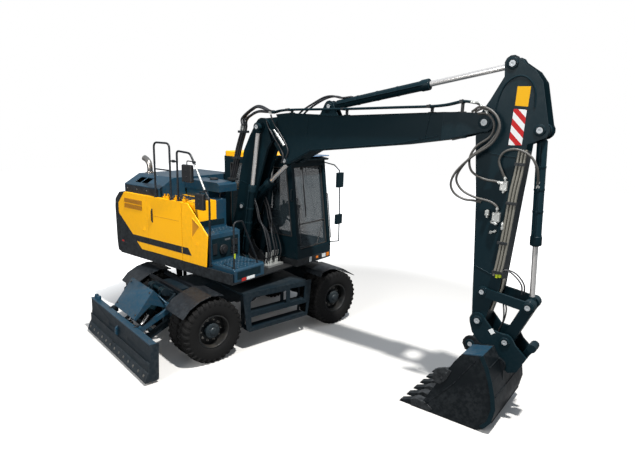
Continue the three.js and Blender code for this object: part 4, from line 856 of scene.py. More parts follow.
def build_hub(bm):
    profile = [(0, -0.338), (0.138, -0.338), (0.138, -0.250), (0.150, -0.20), (0.150, 0.124), (0.138, 0.150),
               (0.130, 0.152), (0.128, 0.205), (0.122, 0.228), (0.104, 0.240), (0.060, 0.246), (0.052, 0.258),
               (0.040, 0.264), (0, 0.265)]
    add_turned(bm, (0, 0, 0), (0, 1, 0), profile, 48)
    bolts = [(0.090 * math.cos(a), 0.2405, 0.090 * math.sin(a)) for a in turn_angles(8)]
    add_bolts(bm, bolts, (0, 1, 0), 0.008, 0.008)


def build_nuts(bm):
    for a in turn_angles(nut_count):
        spot = Vector((nut_circle * math.cos(a), 0.145, nut_circle * math.sin(a)))
        add_turned(bm, spot, (0, 1, 0), [(0, 0), (0.021, 0), (0.021, 0.004), (0.015, 0.006), (0, 0.006)], 16)
        add_turned(bm, spot, (0, 1, 0), [(0, 0), (0.0165, 0), (0.0165, 0.018), (0.013, 0.022), (0, 0.022)], 6)
        add_rod(bm, spot, spot + Vector((0, 0.034, 0)), 0.008, 10)


for end_name in ("rear", "front"):
    for side in sides:
        hand = "left" if side > 0 else "right"
        wheel = f"{end_name}_{hand}"
        place = Matrix.Translation(pins[f"{wheel}_spin"]) @ chassis_turn
        if side < 0:
            place = place @ Matrix.Rotation(math.pi, 4, "Z")
        body = f"{wheel}_wheel"
        make_piece(f"{wheel}_lugged_tyres", build_tyres, body, tyre_rubber, place, 0.0035, 1, 32,
                   replaces=(f"{wheel}_tyres",))
        make_piece(f"{wheel}_dished_rim", build_rim, body, rim_paint, place, 0.002,
                   replaces=(f"{wheel}_rim",))
        make_piece(f"{wheel}_hub_drum", build_hub, body, hub_paint, place, 0.002)
        make_piece(f"{wheel}_wheel_nuts", build_nuts, body, bare_steel, place, 0)
print("wheels dressed")

# %% [markdown]
# ## Hydraulic cylinders
# A cylinder is a painted tube with a forged eye at one end and a screwed gland at the other,
# where the chromed rod slides out. Oil reaches the gland end through a thin steel pipe clipped
# along the tube. The barrel rides on one body and the rod on another, so the rod is made as
# long inside the tube as its stroke needs.

# %% Barrel and rod makers
eye_half = 0.045


def along(foot, tip):
    foot, tip = Vector(foot), Vector(tip)
    way = (tip - foot).normalized()
    return lambda distance: foot + way * distance


def build_barrel(foot, tip, radius, length, pipe_side):
    def build(bm):
        way = (Vector(tip) - Vector(foot)).normalized()
        at = along(foot, tip)
        y_way = Vector((0, 1, 0))
        pin_foot = Vector(foot) - y_way * eye_half
        add_turned(bm, pin_foot, y_way, [
            (0, 0), (radius * 0.55, 0), (radius * 0.6, 0.004), (radius * 0.98, 0.004), (radius * 1.05, 0.010),
            (radius * 1.05, 2 * eye_half - 0.010), (radius * 0.98, 2 * eye_half - 0.004),
            (radius * 0.6, 2 * eye_half - 0.004), (radius * 0.55, 2 * eye_half), (0, 2 * eye_half)], 32)
        tube = [(0, radius * 0.5), (0.042, radius * 0.7), (0.044, radius + 0.045),
                (radius * 0.9, radius + 0.052),
                (radius, radius + 0.064), (radius, length - 0.135), (radius * 1.04, length - 0.13),
                (radius * 1.04, length - 0.115), (radius * 1.15, length - 0.108),
                (radius * 1.15, length - 0.012), (radius * 1.08, length), (radius * 0.72, length),
                (radius * 0.70, length + 0.010), (radius * 0.60, length + 0.012),
                (radius * 0.56, length + 0.002), (0, length - 0.01)]
        add_turned(bm, foot, way, tube, 36)
        side_way = y_way * pipe_side if pipe_side else way.cross(y_way).normalized()
        clip = radius + 0.016
        run = [at(radius + 0.09) + side_way * radius * 0.9, at(radius + 0.10) + side_way * clip,
               at(length - 0.10) + side_way * clip, at(length - 0.075) + side_way * radius * 1.1]
        add_tube(bm, bent_path(run, 0.03), 0.009, 10)
        for share in (0.25, 0.5, 0.75):
            spot = at(radius + 0.1 + (length - radius - 0.25) * share)
            add_turned(bm, spot - way * 0.012, way,
                       [(radius * 0.96, 0), (radius + 0.004, 0), (radius + 0.004, 0.024),
                                                     (radius * 0.96, 0.024)], 36)
            add_turned(bm, spot - way * 0.015 + side_way * clip, way,
                       drum(0.016, 0.03), 12)
    return build


def build_rod(foot, tip, radius, length, out):
    def build(bm):
        at = along(foot, tip)
        reach = (Vector(tip) - Vector(foot)).length
        add_rod(bm, at(length - out - 0.058), at(reach - radius * 0.9), radius * 0.55, 32)
    return build


def build_rod_eye(foot, tip, radius):
    def build(bm):
        at = along(foot, tip)
        reach = (Vector(tip) - Vector(foot)).length
        way = (Vector(tip) - Vector(foot)).normalized()
        y_way = Vector((0, 1, 0))
        add_turned(bm, Vector(tip) - y_way * eye_half, y_way, [
            (0, 0), (radius * 0.5, 0), (radius * 0.55, 0.004), (radius * 0.88, 0.004), (radius * 0.95, 0.010),
            (radius * 0.95, 2 * eye_half - 0.010), (radius * 0.88, 2 * eye_half - 0.004),
            (radius * 0.55, 2 * eye_half - 0.004), (radius * 0.5, 2 * eye_half), (0, 2 * eye_half)], 32)
        add_turned(bm, at(reach - radius * 1.65), way, [
            (0, 0), (radius * 0.56, 0), (radius * 0.68, radius * 0.35), (radius * 0.75, radius), (0, radius)],
            28)
    return build


def dress_cylinder(name, foot, tip, radius, length, out, barrel_body, rod_body, nodes, pipe_side=-1):
    make_piece(f"{name}_tube", build_barrel(foot, tip, radius, length, pipe_side), barrel_body, slate,
               bevel=0.0015, smooth=38, replaces=(nodes[0],))
    make_piece(f"{name}_chromed_rod", build_rod(foot, tip, radius, length, out), rod_body, chrome, bevel=0,
               replaces=(nodes[1],))
    make_piece(f"{name}_rod_eye", build_rod_eye(foot, tip, radius), rod_body, slate, bevel=0.0015)


def at_y(pin_name, y=None):
    spot = pins[pin_name].copy()
    spot.y = boom_y if y is None else y
    return spot


# %% The cylinders of boom, arm and bucket
lift_radius = 0.062
for side in sides:
    hand = "left" if side > 0 else "right"
    y = pins[f"{hand}_lift_turn"].y
    dress_cylinder(f"{hand}_lift", at_y(f"{hand}_lift_turn", y), at_y("upper_boom_raise", y), lift_radius,
                   1.32, 0.06,
                   f"{hand}_lift_barrel", f"{hand}_lift_rod", (f"{hand}_lift_barrel", f"{hand}_lift_rod"),
                   -1 if side < 0 else 0)


def eye_of(node, radius):
    """Middle of the eye that ends a rod, found from the box of its solid."""
    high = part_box(node)[1]
    return Vector((high.x - radius, boom_y, high.z - radius))


adjust_radius, arm_cylinder_radius, eye_share = 0.070, 0.066, 0.95
adjust_tip = eye_of("adjust_rod", adjust_radius * eye_share)
arm_rod_tip = eye_of("arm_cylinder_rod", arm_cylinder_radius * eye_share)
dress_cylinder("adjust", at_y("adjust_turn"), adjust_tip, adjust_radius, 0.74, 0.16, "adjust_barrel",
               "adjust_rod", ("adjust_barrel", "adjust_rod"))
dress_cylinder("arm_cylinder", at_y("arm_barrel_turn"), arm_rod_tip, arm_cylinder_radius, 1.61, 0.31,
               "arm_barrel", "arm_rod", ("arm_cylinder_barrel", "arm_cylinder_rod"))
dress_cylinder("bucket_cylinder", at_y("bucket_barrel_turn"), at_y("h_link_turn"), 0.060, 1.37, 0.255,
               "bucket_barrel", "bucket_rod", ("bucket_cylinder_barrel", "bucket_cylinder_rod"))
for node in ("blade_barrels", "blade_rods"):
    rounded_copy(node, chrome if node == "blade_rods" else slate, 0.002)
print("cylinders dressed; adjust pin at", [round(v, 3) for v in adjust_tip])

# %% [markdown]
# ## Finding the surface
# Caps, clamps and plates have to sit on the steel, not near it. Their height could be measured
# and typed in for each one; a ray is surer. It is sent at the solid from outside, and where it
# first hits is where the part goes.

# %% Rays onto the solids
surfaces = {}


def surface(node):
    if node not in surfaces:
        mesh = frame["nodes"][node].data
        spots = [vert.co for vert in mesh.vertices]
        surfaces[node] = BVHTree.FromPolygons(spots, [tuple(face.vertices) for face in mesh.polygons])
    return surfaces[node]


def outer_y(nodes, x, z, side, reach=2.0):
    """How far out, on one side of the boom, the first of these solids stands at (x, z)."""
    start, way = Vector((x, boom_y + side * reach, z)), Vector((0, -side, 0))
    hits = [surface(node).ray_cast(start, way)[0] for node in nodes]
    found = [hit.y for hit in hits if hit]
    return max(found) if side > 0 else min(found)


def top_z(nodes, x, y, from_z=6.0):
    """How high the first of these solids stands at (x, y)."""
    hits = [surface(node).ray_cast(Vector((x, y, from_z)), Vector((0, 0, -1)))[0] for node in nodes]
    return max(hit.z for hit in hits if hit)


# %% [markdown]
# ## Pin caps
# Every pivot of the front end is a thick pin held by a collar. From outside it shows as a bright
# round end in a dark, bolted collar. A pin's end can be told by eye from ten metres away, so
# each one is turned with its collar, its centre hole and its lock bolt.

# %% Pin ends with collars
pin_places = [
    ("boom_joint", "lower_boom", "upper_boom_raise", ("right_lift_rod", "left_lift_rod"), 0.042, 2.0),
    ("arm_pivot", "upper_boom", "arm_out", ("upper_boom",), 0.046, 2.0),
    ("arm_cylinder_foot", "upper_boom", "arm_barrel_turn", ("upper_boom",), 0.036, 2.0),
    ("bucket_cylinder_foot", "arm", "bucket_barrel_turn", ("arm",), 0.042, 2.0),
    ("lever_pivot", "bucket_levers", "bucket_levers_turn", ("bucket_levers",), 0.036, 2.0),
    ("lever_tip", "bucket_levers", "h_link_turn", ("bucket_levers",), 0.040, 2.0),
    ("arm_end", "bucket", "bucket_curl", ("quick_coupler",), 0.042, 2.0),
]
extra_pins = [
    ("adjust_cylinder_tip", "upper_boom", adjust_tip, ("upper_boom",), 0.040, 2.0),
    ("adjust_cylinder_foot", "lower_boom", pins["adjust_turn"], ("lower_boom",), 0.040, 2.0),
    ("arm_cylinder_tip", "arm", arm_rod_tip, ("arm",), 0.042, 2.0),
    ("coupler_pin", "bucket", Vector((4.929, boom_y, 1.096)), ("quick_coupler",), 0.040, 2.0),
    ("bucket_front_pin", "bucket", Vector((4.507, boom_y, 0.966)), ("bucket",), 0.036, 0.42),
    ("bucket_rear_pin", "bucket", Vector((4.882, boom_y, 0.782)), ("bucket",), 0.036, 0.42),
]
for name, body, joint, nodes, radius, reach in pin_places:
    extra_pins.append((name, body, pins[joint], nodes, radius, reach))


def build_collars(spot, faces, radius):
    def build(bm):
        for side, y in faces:
            add_turned(bm, (spot.x, y - side * 0.003, spot.z), (0, side, 0), [
                (0, 0), (radius * 1.62, 0), (radius * 1.62, 0.010), (radius * 1.5, 0.014),
                (radius * 1.06, 0.014), (radius * 1.03, 0.006), (0, 0.006)], 36)
            add_bolts(bm, [(spot.x + radius * 1.34, y + side * 0.010, spot.z)], (0, side, 0), 0.008, 0.010)
    return build


def build_pin_ends(spot, faces, radius):
    def build(bm):
        for side, y in faces:
            add_turned(bm, (spot.x, y, spot.z), (0, side, 0), [
                (0, 0), (radius * 0.74, 0), (radius * 0.74, 0.014), (radius * 0.88, 0.017),
                (radius * 0.34, 0.017), (radius * 0.30, 0.012), (0, 0.012)], 32)
    return build


for name, body, spot, nodes, radius, reach in extra_pins:
    faces = [(side, outer_y(nodes, spot.x + 0.004, spot.z + 0.5 * radius, side, reach)) for side in sides]
    make_piece(f"{name}_collars", build_collars(spot, faces, radius), body, slate, bevel=0.001, segments=1)
    make_piece(f"{name}_ends", build_pin_ends(spot, faces, radius), body, cap_steel, bevel=0.001, segments=1)
print("pins:", len(extra_pins))

# %% [markdown]
# ## Steel pipes on the boom
# Oil runs along the boom in steel pipes, because a hose that long would whip. They stand a hand
# above the plate on brackets, on the right, and every metre a clamp holds them.

# %% Pipes, clamps and brackets on the upper boom
pipe_lanes = [-0.240, -0.211, -0.182]
boom_pipe_line = [(0.98, 3.880), (1.30, 3.925), (2.34, 3.945), (3.23, 3.972), (3.67, 3.985), (3.90, 4.005),
                  (4.10, 4.045), (4.22, 4.040)]
clamp_spots = [(1.30, 3.925, 0.12), (2.34, 3.945, 0.12), (3.67, 3.985, 0.12), (4.10, 4.045, 0.185)]


def build_boom_pipes(bm):
    for lane in pipe_lanes:
        run = [(x, boom_y + lane, z) for x, z in boom_pipe_line]
        add_tube(bm, smooth_path(run, 5), 0.0165, 12)


def build_boom_clamps(bm):
    for x, z, foot in clamp_spots:
        near, far = boom_y + pipe_lanes[0] - 0.022, boom_y + max(pipe_lanes[-1] + 0.018, 0.012 - foot)
        add_block(bm, (x - 0.022, near, z - 0.020), (x + 0.022, far, z + 0.020))
        base = top_z(("upper_boom",), x, boom_y - foot)
        add_block(bm, (x - 0.018, boom_y - foot - 0.015, base - 0.01),
                  (x + 0.018, boom_y - foot + 0.010, z - 0.015))
        add_block(bm, (x - 0.050, boom_y - foot - 0.012, base - 0.002),
                  (x + 0.050, boom_y - foot + 0.012, base + 0.010))
        spots = [(x, boom_y + lane + 0.0175, z + 0.020) for lane in pipe_lanes[:2]]
        add_bolts(bm, spots, (0, 0, 1), 0.007, 0.008)


def build_boom_fittings(bm):
    for lane in pipe_lanes:
        for x, z, way in ((4.22, 4.040, 1), (0.98, 3.880, -1)):
            spot = Vector((x, boom_y + lane, z))
            add_turned(bm, spot, (way, 0, -0.12 * way), [
                (0, 0), (0.020, 0), (0.020, 0.022), (0.015, 0.024), (0.015, 0.032), (0.021, 0.034),
                (0.021, 0.060), (0, 0.060)], 6)


make_piece("boom_steel_pipes", build_boom_pipes, "upper_boom", slate, bevel=0)
make_piece("boom_pipe_clamps", build_boom_clamps, "upper_boom", charcoal, bevel=0.002)
make_piece("boom_pipe_fittings", build_boom_fittings, "upper_boom", fitting_steel, bevel=0.0012, segments=1,
           smooth=25)

# %% [markdown]
# ## Braided hoses
# Where the machine bends, the pipes hand over to hoses. A hose has a fixed length and a smallest
# bend, so over the arm's pivot it hangs in a wide loop that opens and closes as the arm swings.
# Each loop is a tube along a soft curve, laid in one pose; it rides no body.

# %% Hose loops from boom to arm, and from arm to bucket cylinder
hose_radius, loop_steps = 0.0145, 10
arm_face = outer_y(("arm",), 4.60, 2.8, -1)
fork_face = outer_y(("upper_boom",), 4.25, 3.85, -1)


def make_hose(name, points, radius, finish, steps):
    """A hose along a soft curve, laid in one pose; it rides no body."""
    path = smooth_path(points, steps)
    bm = bmesh.new()
    add_tube(bm, path, radius, 12)
    hose = mesh_object(name, bm)
    hose.data.materials.append(finish)
    hose.data.shade_smooth()
    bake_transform(hose)
    piece_count["pieces"] += 1


loop_routes = {
    "outer_arm_loop": [
        (4.235, fork_face - 0.020, 3.925), (4.36, -0.290, 3.985), (4.53, -0.310, 3.905),
        (4.605, -0.315, 3.745), (4.53, -0.310, 3.56), (4.31, -0.315, 3.39), (4.13, -0.315, 3.20),
        (4.066, -0.310, 3.04), (4.115, -0.290, 2.92), (4.235, -0.265, 2.855), (4.36, -0.235, 2.845),
        (4.44, arm_face - 0.016, 2.83)],
    "middle_arm_loop": [
        (4.275, fork_face - 0.018, 3.925), (4.40, -0.280, 3.965), (4.55, -0.285, 3.875),
        (4.585, -0.285, 3.74), (4.50, -0.285, 3.57), (4.30, -0.290, 3.40), (4.155, -0.285, 3.21),
        (4.125, -0.280, 3.08), (4.21, -0.265, 2.96), (4.37, -0.245, 2.89), (4.55, -0.225, 2.855),
        (4.64, -0.215, 2.80), (4.655, arm_face - 0.020, 2.735)],
    "inner_arm_loop": [
        (4.310, fork_face - 0.018, 3.905), (4.43, -0.262, 3.90), (4.52, -0.262, 3.79), (4.49, -0.262, 3.64),
        (4.33, -0.262, 3.51), (4.262, -0.262, 3.36), (4.30, -0.255, 3.21), (4.45, -0.235, 3.125),
        (4.60, -0.220, 3.105), (4.69, arm_face - 0.020, 3.09)],
}
for name, points in loop_routes.items():
    make_hose(name, points, hose_radius, braided_hose,
              loop_steps)


def build_loop_joins(bm):
    """Plated bends that lead from the ends of the boom pipes over the fork into the loops."""
    for lane, points in zip(pipe_lanes, loop_routes.values()):
        pipe_end, meet = Vector((4.262, boom_y + lane, 4.035)), Vector(points[1])
        half_way = pipe_end.lerp(meet, 0.55) + Vector((0.012, 0, 0.022))
        add_tube(bm, smooth_path([pipe_end, half_way, meet], 5), hose_radius * 1.12, 12)


make_piece("arm_loop_joins", build_loop_joins, "upper_boom", fitting_steel, bevel=0)
barrel_face = outer_y(("bucket_cylinder_barrel",), 5.06, 3.10, -1)
make_hose("bucket_cylinder_loop", [
    (4.715, arm_face - 0.020, 3.13), (4.665, -0.235, 3.23), (4.62, -0.245, 3.36), (4.68, -0.250, 3.47),
    (4.82, -0.245, 3.50), (4.97, -0.230, 3.43), (5.045, -0.205, 3.31), (5.062, -0.160, 3.19),
    (5.06, barrel_face - 0.018, 3.10)], hose_radius, braided_hose,
    loop_steps)
print("hose loops:", len(loop_routes) + 1)

# %% [markdown]
# ## Pipes and fittings on the arm
# On the arm the oil goes on in three bright pipes that run down its rear corner to the quick
# coupler. Valves and elbows stand where hoses and pipes meet. They are small, but they are the
# brightest things on a dark arm.

# %% Arm pipes, clamps, valve blocks and elbows
arm_pipe_line = [(4.845, 3.50), (4.825, 3.25), (4.795, 3.0), (4.775, 2.70), (4.756, 2.42), (4.728, 2.10),
                 (4.704, 1.93)]
arm_pipe_shifts = (0.068, 0.030, -0.008)


def rear_x(z, y):
    """Where the arm's rear face is at a height."""
    return surface("arm").ray_cast(Vector((6.5, y, z)), Vector((-1, 0, 0)))[0].x


def build_arm_pipes(bm):
    for shift in arm_pipe_shifts:
        run = [(x + shift, arm_face - 0.030, z) for x, z in arm_pipe_line]
        add_tube(bm, smooth_path(run, 4), 0.0165, 12)
    for across in (-0.095, -0.055):
        run = [(rear_x(z, boom_y + across) + 0.018, boom_y + across, z) for z in (1.88, 1.76, 1.64, 1.52,
            1.44)]
        add_tube(bm, run, 0.0145, 12)


def build_arm_clamps(bm):
    for x, z in ((4.833, 3.33), (4.782, 2.86), (4.732, 2.36), (4.708, 1.98)):
        add_block(bm, (x - 0.032, arm_face - 0.054, z - 0.018), (x + 0.090, arm_face + 0.002, z + 0.018))
        add_bolts(bm, [(x + 0.011, arm_face - 0.054, z)], (0, -1, 0), 0.008, 0.009)


def elbow(bm, spot, leave, out=0.045):
    """A plated elbow: out of the plate, then off along the plate."""
    spot, leave = Vector(spot), Vector(leave).normalized()
    turn_at = spot + Vector((0, -out, 0))
    add_tube(bm, bent_path([spot, turn_at, turn_at + leave * 0.075], 0.03), 0.013, 10)
    for foot, way in ((spot + Vector((0, -0.004, 0)), Vector((0, -1, 0))), (turn_at + leave * 0.045, leave)):
        add_turned(bm, foot, way, drum(0.021, 0.020), 6)


def build_valves(bm):
    blocks = [((4.700, 3.06), (0.040, 0.055)), ((4.650, 2.67), (0.045, 0.055)),
              ((4.535, 2.71), (0.022, 0.030))]
    for (x, z), (half_x, half_z) in blocks:
        add_block(bm, (x - half_x, arm_face - 0.050, z - half_z), (x + half_x, arm_face + 0.002, z + half_z))
        for dz in (-half_z - 0.03, half_z * 0.3):
            add_turned(bm, (x, arm_face - 0.026, z + dz), (0, 0, 1), drum(0.017, 0.03), 6)
        add_bolts(bm,
                  [(x + s * half_x * 0.6, arm_face - 0.050,
                    z + t * half_z * 0.6) for s in sides for t in sides],
                  (0, -1, 0), 0.006, 0.007)
    elbow(bm, (4.700, arm_face, 3.09), (-1, 0, 0.1))
    elbow(bm, (4.720, arm_face, 3.10), (-0.2, 0, 1))
    elbow(bm, (4.655, arm_face, 2.72), (0, 0, 1))
    elbow(bm, (4.600, arm_face, 2.60), (1, 0, -0.2))
    elbow(bm, (4.735, arm_face, 2.60), (0.1, 0, -1))
    elbow(bm, (4.60, arm_face, 2.47), (0.9, 0, 0.4), 0.03)
    elbow(bm, (5.06, barrel_face + 0.01, 3.07), (0, 0, 1), 0.03)


make_piece("arm_steel_pipes", build_arm_pipes, "arm", beige_pipe, bevel=0)
make_piece("arm_pipe_clamps", build_arm_clamps, "arm", charcoal, bevel=0.002)
make_piece("arm_valves_and_elbows", build_valves, "arm", fitting_steel, bevel=0.0015, segments=1, smooth=25)

# %% [markdown]
# ## Marking on the arm
# A plain yellow plate and a red and white strip make the arm visible on a road. Both are films on
# the plate, so they are boxes of one millimetre that stand just proud of it. The stripes come
# from the material.

# %% Yellow plate and striped strip
film_thickness = 0.0015


def build_film(outline):
    def build(bm):
        add_prism(bm, outline, arm_face - film_thickness, arm_face + 0.004)
    return build


make_piece("arm_yellow_plate", build_film([(4.717, 4.0), (4.864, 3.99), (4.872, 4.215), (4.722, 4.218)]),
           "arm", plate_yellow, bevel=0)
make_piece("arm_striped_strip", build_film([(4.690, 3.545), (4.845, 3.55), (4.856, 3.955), (4.708, 3.965)]),
           "arm", hazard_look, bevel=0)

# %% [markdown]
# ## Welded covers, rails and stiffeners
# Large steel boxes are closed with plates that overlap the sides a little, and every such joint
# has a weld bead. A few raised rims and beads break up the flat sides of boom and arm.

# %% Rims and beads on arm and boom
weld_radius = 0.006


def build_arm_rims(bm):
    for side in sides:
        y = outer_y(("arm",), 4.75, 3.9, side)
        rim = [(4.53, 3.62), (4.50, 3.95), (4.55, 4.18), (4.63, 4.29), (4.74, 4.335), (4.85, 4.29),
               (4.925, 4.16), (4.94, 3.98)]
        add_tube(bm, smooth_path([(x, y, z) for x, z in rim], 6), 0.011, 8)
        add_tube(bm, [(4.452, y, 2.0), (4.66, y, 1.93)], weld_radius, 6)
        add_tube(bm, [(4.33, y, 3.45), (4.88, y, 3.40)], weld_radius * 0.8, 6)
        collar_at = pins["arm_out"]
        spots = [(collar_at.x + 0.135 * math.cos(a), y, collar_at.z + 0.135 * math.sin(a))
                 for a in (math.radians(d) for d in range(-60, 250, 15))]
        add_tube(bm, spots, weld_radius, 6)


def build_boom_beads(bm):
    for side in sides:
        y = outer_y(("upper_boom",), 2.4, 3.6, side)
        for x in (1.62, 3.62):
            low = 3.34 + (x - 1.62) * 0.125
            add_tube(bm, [(x, y, low), (x + 0.05, y, 3.855 + (x - 1.62) * 0.02)], weld_radius, 6)
        lower = [(1.30, 3.125), (1.72, 3.335), (3.25, 3.505), (3.80, 3.62)]
        add_tube(bm, [(x, y, z) for x, z in lower], weld_radius, 6)
        upper = [(1.28, 3.855), (2.25, 3.835), (3.80, 3.90)]
        add_tube(bm, [(x, y, z) for x, z in upper], weld_radius, 6)


def build_lower_boom_beads(bm):
    for side in sides:
        y = outer_y(("lower_boom",), 0.4, 2.8, side)
        add_tube(bm, smooth_path([(0.30, y, 2.08), (0.47, y, 2.47), (0.60, y, 2.86), (0.75, y, 3.25)], 5),
                 weld_radius, 6)
        add_tube(bm, [(0.18, y, 2.72), (0.55, y, 2.62)], weld_radius, 6)
        plate = [(0.30, 2.36), (0.41, 2.34), (0.50, 2.66), (0.38, 2.69)]
        add_prism(bm, plate, y - 0.006 if side < 0 else y - 0.002, y + 0.002 if side < 0 else y + 0.006)


make_piece("arm_rims", build_arm_rims, "arm", slate, bevel=0)
make_piece("boom_welds", build_boom_beads, "upper_boom", slate, bevel=0)
make_piece("lower_boom_welds", build_lower_boom_beads, "lower_boom", slate, bevel=0)

# %% [markdown]
# ## Hose bundle at the boom's foot
# Between the deck and the boom runs a thick bundle of black hoses. It leaves the deck by the
# boom's foot, climbs the rear of the lower boom and arches over the upper joint to the pipes.
# The bundle crosses two joints, so it is made in three lengths that meet under clamps: one from
# the deck to the lower boom, one that rides on the lower boom, and one on to the upper boom; the
# first and the last ride no body.

# %% Deck to lower boom
lower_clamp = Vector((0.02, boom_y - 0.21, 2.62))
upper_clamp = Vector((0.34, boom_y - 0.21, 3.56))
bundle_lanes = [(0.0, 0.0), (0.034, 0.010), (-0.032, 0.014), (0.012, 0.040), (-0.022, 0.046), (0.048, 0.044)]


def lane_radius(k):
    """Every other hose of the bundle is a little thinner."""
    return 0.0145 if k % 2 else 0.017


for k, (across, deep) in enumerate(bundle_lanes):
    start = Vector((-0.02 + 0.05 * k, boom_y - 0.24 - 0.03 * k, 1.42))
    points = [start, start + Vector((-0.03, -0.02, 0.22)),
              (-0.20 + 0.025 * k, boom_y - 0.30 - 0.03 * (k % 3), 1.98 + 0.03 * k),
              (-0.26 + 0.02 * k, boom_y - 0.29 - across, 2.34 + 0.02 * k),
              (-0.12 + 0.01 * k, boom_y - 0.24 - across, 2.54),
              lower_clamp + Vector((-deep, -across, 0.0)),
              lower_clamp + Vector((0.05 - deep, -across, 0.12))]
    make_hose(f"deck_hose_{k + 1}", points, lane_radius(k), hose_rubber,
              6)


def build_bundle(bm):
    for k, (across, deep) in enumerate(bundle_lanes):
        shift = Vector((-deep, -across, 0))
        run = [lower_clamp + Vector((0.05, 0, 0.12)) + shift, Vector((0.135, boom_y - 0.205, 2.95)) + shift,
               Vector((0.225, boom_y - 0.205, 3.28)) + shift, upper_clamp + shift,
               upper_clamp + Vector((0.025, 0, 0.10)) + shift]
        add_tube(bm, smooth_path(run, 5), lane_radius(k), 10)


def build_bundle_clamps(bm):
    for spot in (lower_clamp + Vector((0.05, 0, 0.12)), Vector((0.18, boom_y - 0.205, 3.11)), upper_clamp):
        add_block(bm, spot + Vector((-0.085, -0.085, -0.020)), spot + Vector((0.035, 0.070, 0.020)))


make_piece("lower_boom_hoses", build_bundle, "lower_boom", hose_rubber, bevel=0)
make_piece("lower_boom_hose_clamps", build_bundle_clamps, "lower_boom", charcoal, bevel=0.003)

# %% Lower boom to upper boom
for k, (across, deep) in enumerate(bundle_lanes):
    lane = pipe_lanes[k % 3]
    lift = 0.04 * (k // 3)
    start = upper_clamp + Vector((0.025 - deep, -across, 0.10))
    points = [start, start + Vector((0.015 - 0.3 * deep, 0, 0.09 + lift)),
              (0.48 + 0.012 * k, boom_y - 0.20 - 0.3 * across, 3.825 + 0.018 * k + lift),
              (0.68, boom_y + lane, 3.885 + 0.012 * k + lift),
              (0.87 + 0.03 * (k // 3), boom_y + lane, 3.885 + lift * 0.6),
              (0.985, boom_y + lane, 3.885 + 0.02 * (k // 3))]
    make_hose(f"joint_hose_{k + 1}", points, 0.0145, hose_rubber,
              7)


def build_bundle_fittings(bm):
    for across, deep in bundle_lanes:
        foot = upper_clamp + Vector((-deep, -across, 0.022))
        add_turned(bm, foot, (0.2, 0, 1),
                   [(0, 0), (0.022, 0), (0.022, 0.030), (0.019, 0.032), (0.019, 0.075), (0, 0.075)], 6)


heel_face = outer_y(("upper_boom",), 1.12, 3.46, -1)
heel_route = [(0.86, 3.80), (0.92, 3.68), (1.05, 3.52), (1.18, 3.36), (1.235, 3.24), (1.20, 3.14)]


def build_heel_lines(bm):
    y = heel_face - 0.026
    add_rod(bm, (1.04, y, 3.56), (1.21, y, 3.37), 0.024, 16)
    add_rod(bm, (0.99, y - 0.004, 3.615), (1.04, y - 0.004, 3.56), 0.016, 12)
    for x, z in ((1.075, 3.52), (1.175, 3.41)):
        add_turned(bm, (x - 0.012, y, z + 0.013), (0.67, 0, -0.74), drum(0.030, 0.024), 8)


def build_heel_hoses(bm):
    for shift in (-0.045, 0.050):
        route = [Vector((x + shift, heel_face - 0.024, z + shift)) for x, z in heel_route]
        add_tube(bm, smooth_path(route, 5), 0.013, 10)


make_piece("bundle_fittings", build_bundle_fittings, "lower_boom", fitting_steel, bevel=0.001, segments=1,
           smooth=25)
make_piece("heel_line_block", build_heel_lines, "upper_boom", fitting_steel, bevel=0.001, segments=1,
           smooth=25)
make_piece("heel_hoses", build_heel_hoses, "upper_boom", hose_rubber, bevel=0)
print("hose bundle done; pieces so far:", piece_count["pieces"])

# %% [markdown]
# ## The side panels
# The yellow panels carry a dark stripe that runs from the tail to the front edge. It crosses a
# door, so it is cut into one thin film per panel, and each film rides its own panel; when the
# door opens, its part of the stripe goes along. On the left the cuts are placed from the box of
# the door's solid, so they land on the real gap; on the right they are given as numbers.

# %% Stripes, louvre, handle and lock on both sides
panel_y = 1.245
film_out = panel_y + film_thickness
stripe_tail = [(-1.983, 2.00), (-1.56, 1.65), (-1.093, 1.653), (-1.093, 1.54), (-1.45, 1.54), (-1.30, 1.412),
               (-1.983, 1.412)]
stripe_door = [(-1.087, 1.653), (-0.151, 1.657), (-0.151, 1.54), (-1.087, 1.54)]
stripe_front = [(-0.145, 1.657), (0.01, 1.66), (0.10, 1.54), (-0.145, 1.54)]
left_door_low, left_door_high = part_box("left_door")
left_tail = [(-1.983, 2.00), (-1.56, 1.65), (left_door_low.x - 0.004, 1.651),
             (left_door_low.x - 0.004, 1.412), (-1.983, 1.412)]
left_stripe = [(left_door_low.x + 0.006, 1.652), (left_door_high.x - 0.03, 1.655),
               (left_door_high.x - 0.03, 1.54), (left_door_low.x + 0.006, 1.54)]


def build_side_film(outline, side):
    def build(bm):
        add_prism(bm, outline, side * (panel_y - 0.004), side * film_out)
    return build


for name, outline, side, body in (
    ("stripe_tail_right", stripe_tail, -1, "upper"),
    ("stripe_door_right", stripe_door, -1, "right_door"),
    ("stripe_front_right", stripe_front, -1, "upper"),
    ("stripe_tail_left", left_tail, 1, "upper"),
    ("stripe_door_left", left_stripe, 1, "left_door"),
):
    make_piece(name, build_side_film(outline, side), body, charcoal, bevel=0)

# The tail corner behind the yellow skin: a dark post that rounds over at the top.
corner_outline = [(-1.989, 1.24), (-2.085, 1.27), (-2.105, 1.45), (-2.108, 2.10), (-2.085, 2.26),
                  (-1.95, 2.395), (-1.80, 2.420), (-1.786, 2.412), (-1.989, 2.193)]
for side, tag in ((-1, "right"), (1, "left")):
    make_piece(f"tail_corner_{tag}", lambda bm, s=side: add_prism(bm, corner_outline, s * 1.10, s * 1.241),
               "upper", charcoal, bevel=0.022, segments=3)
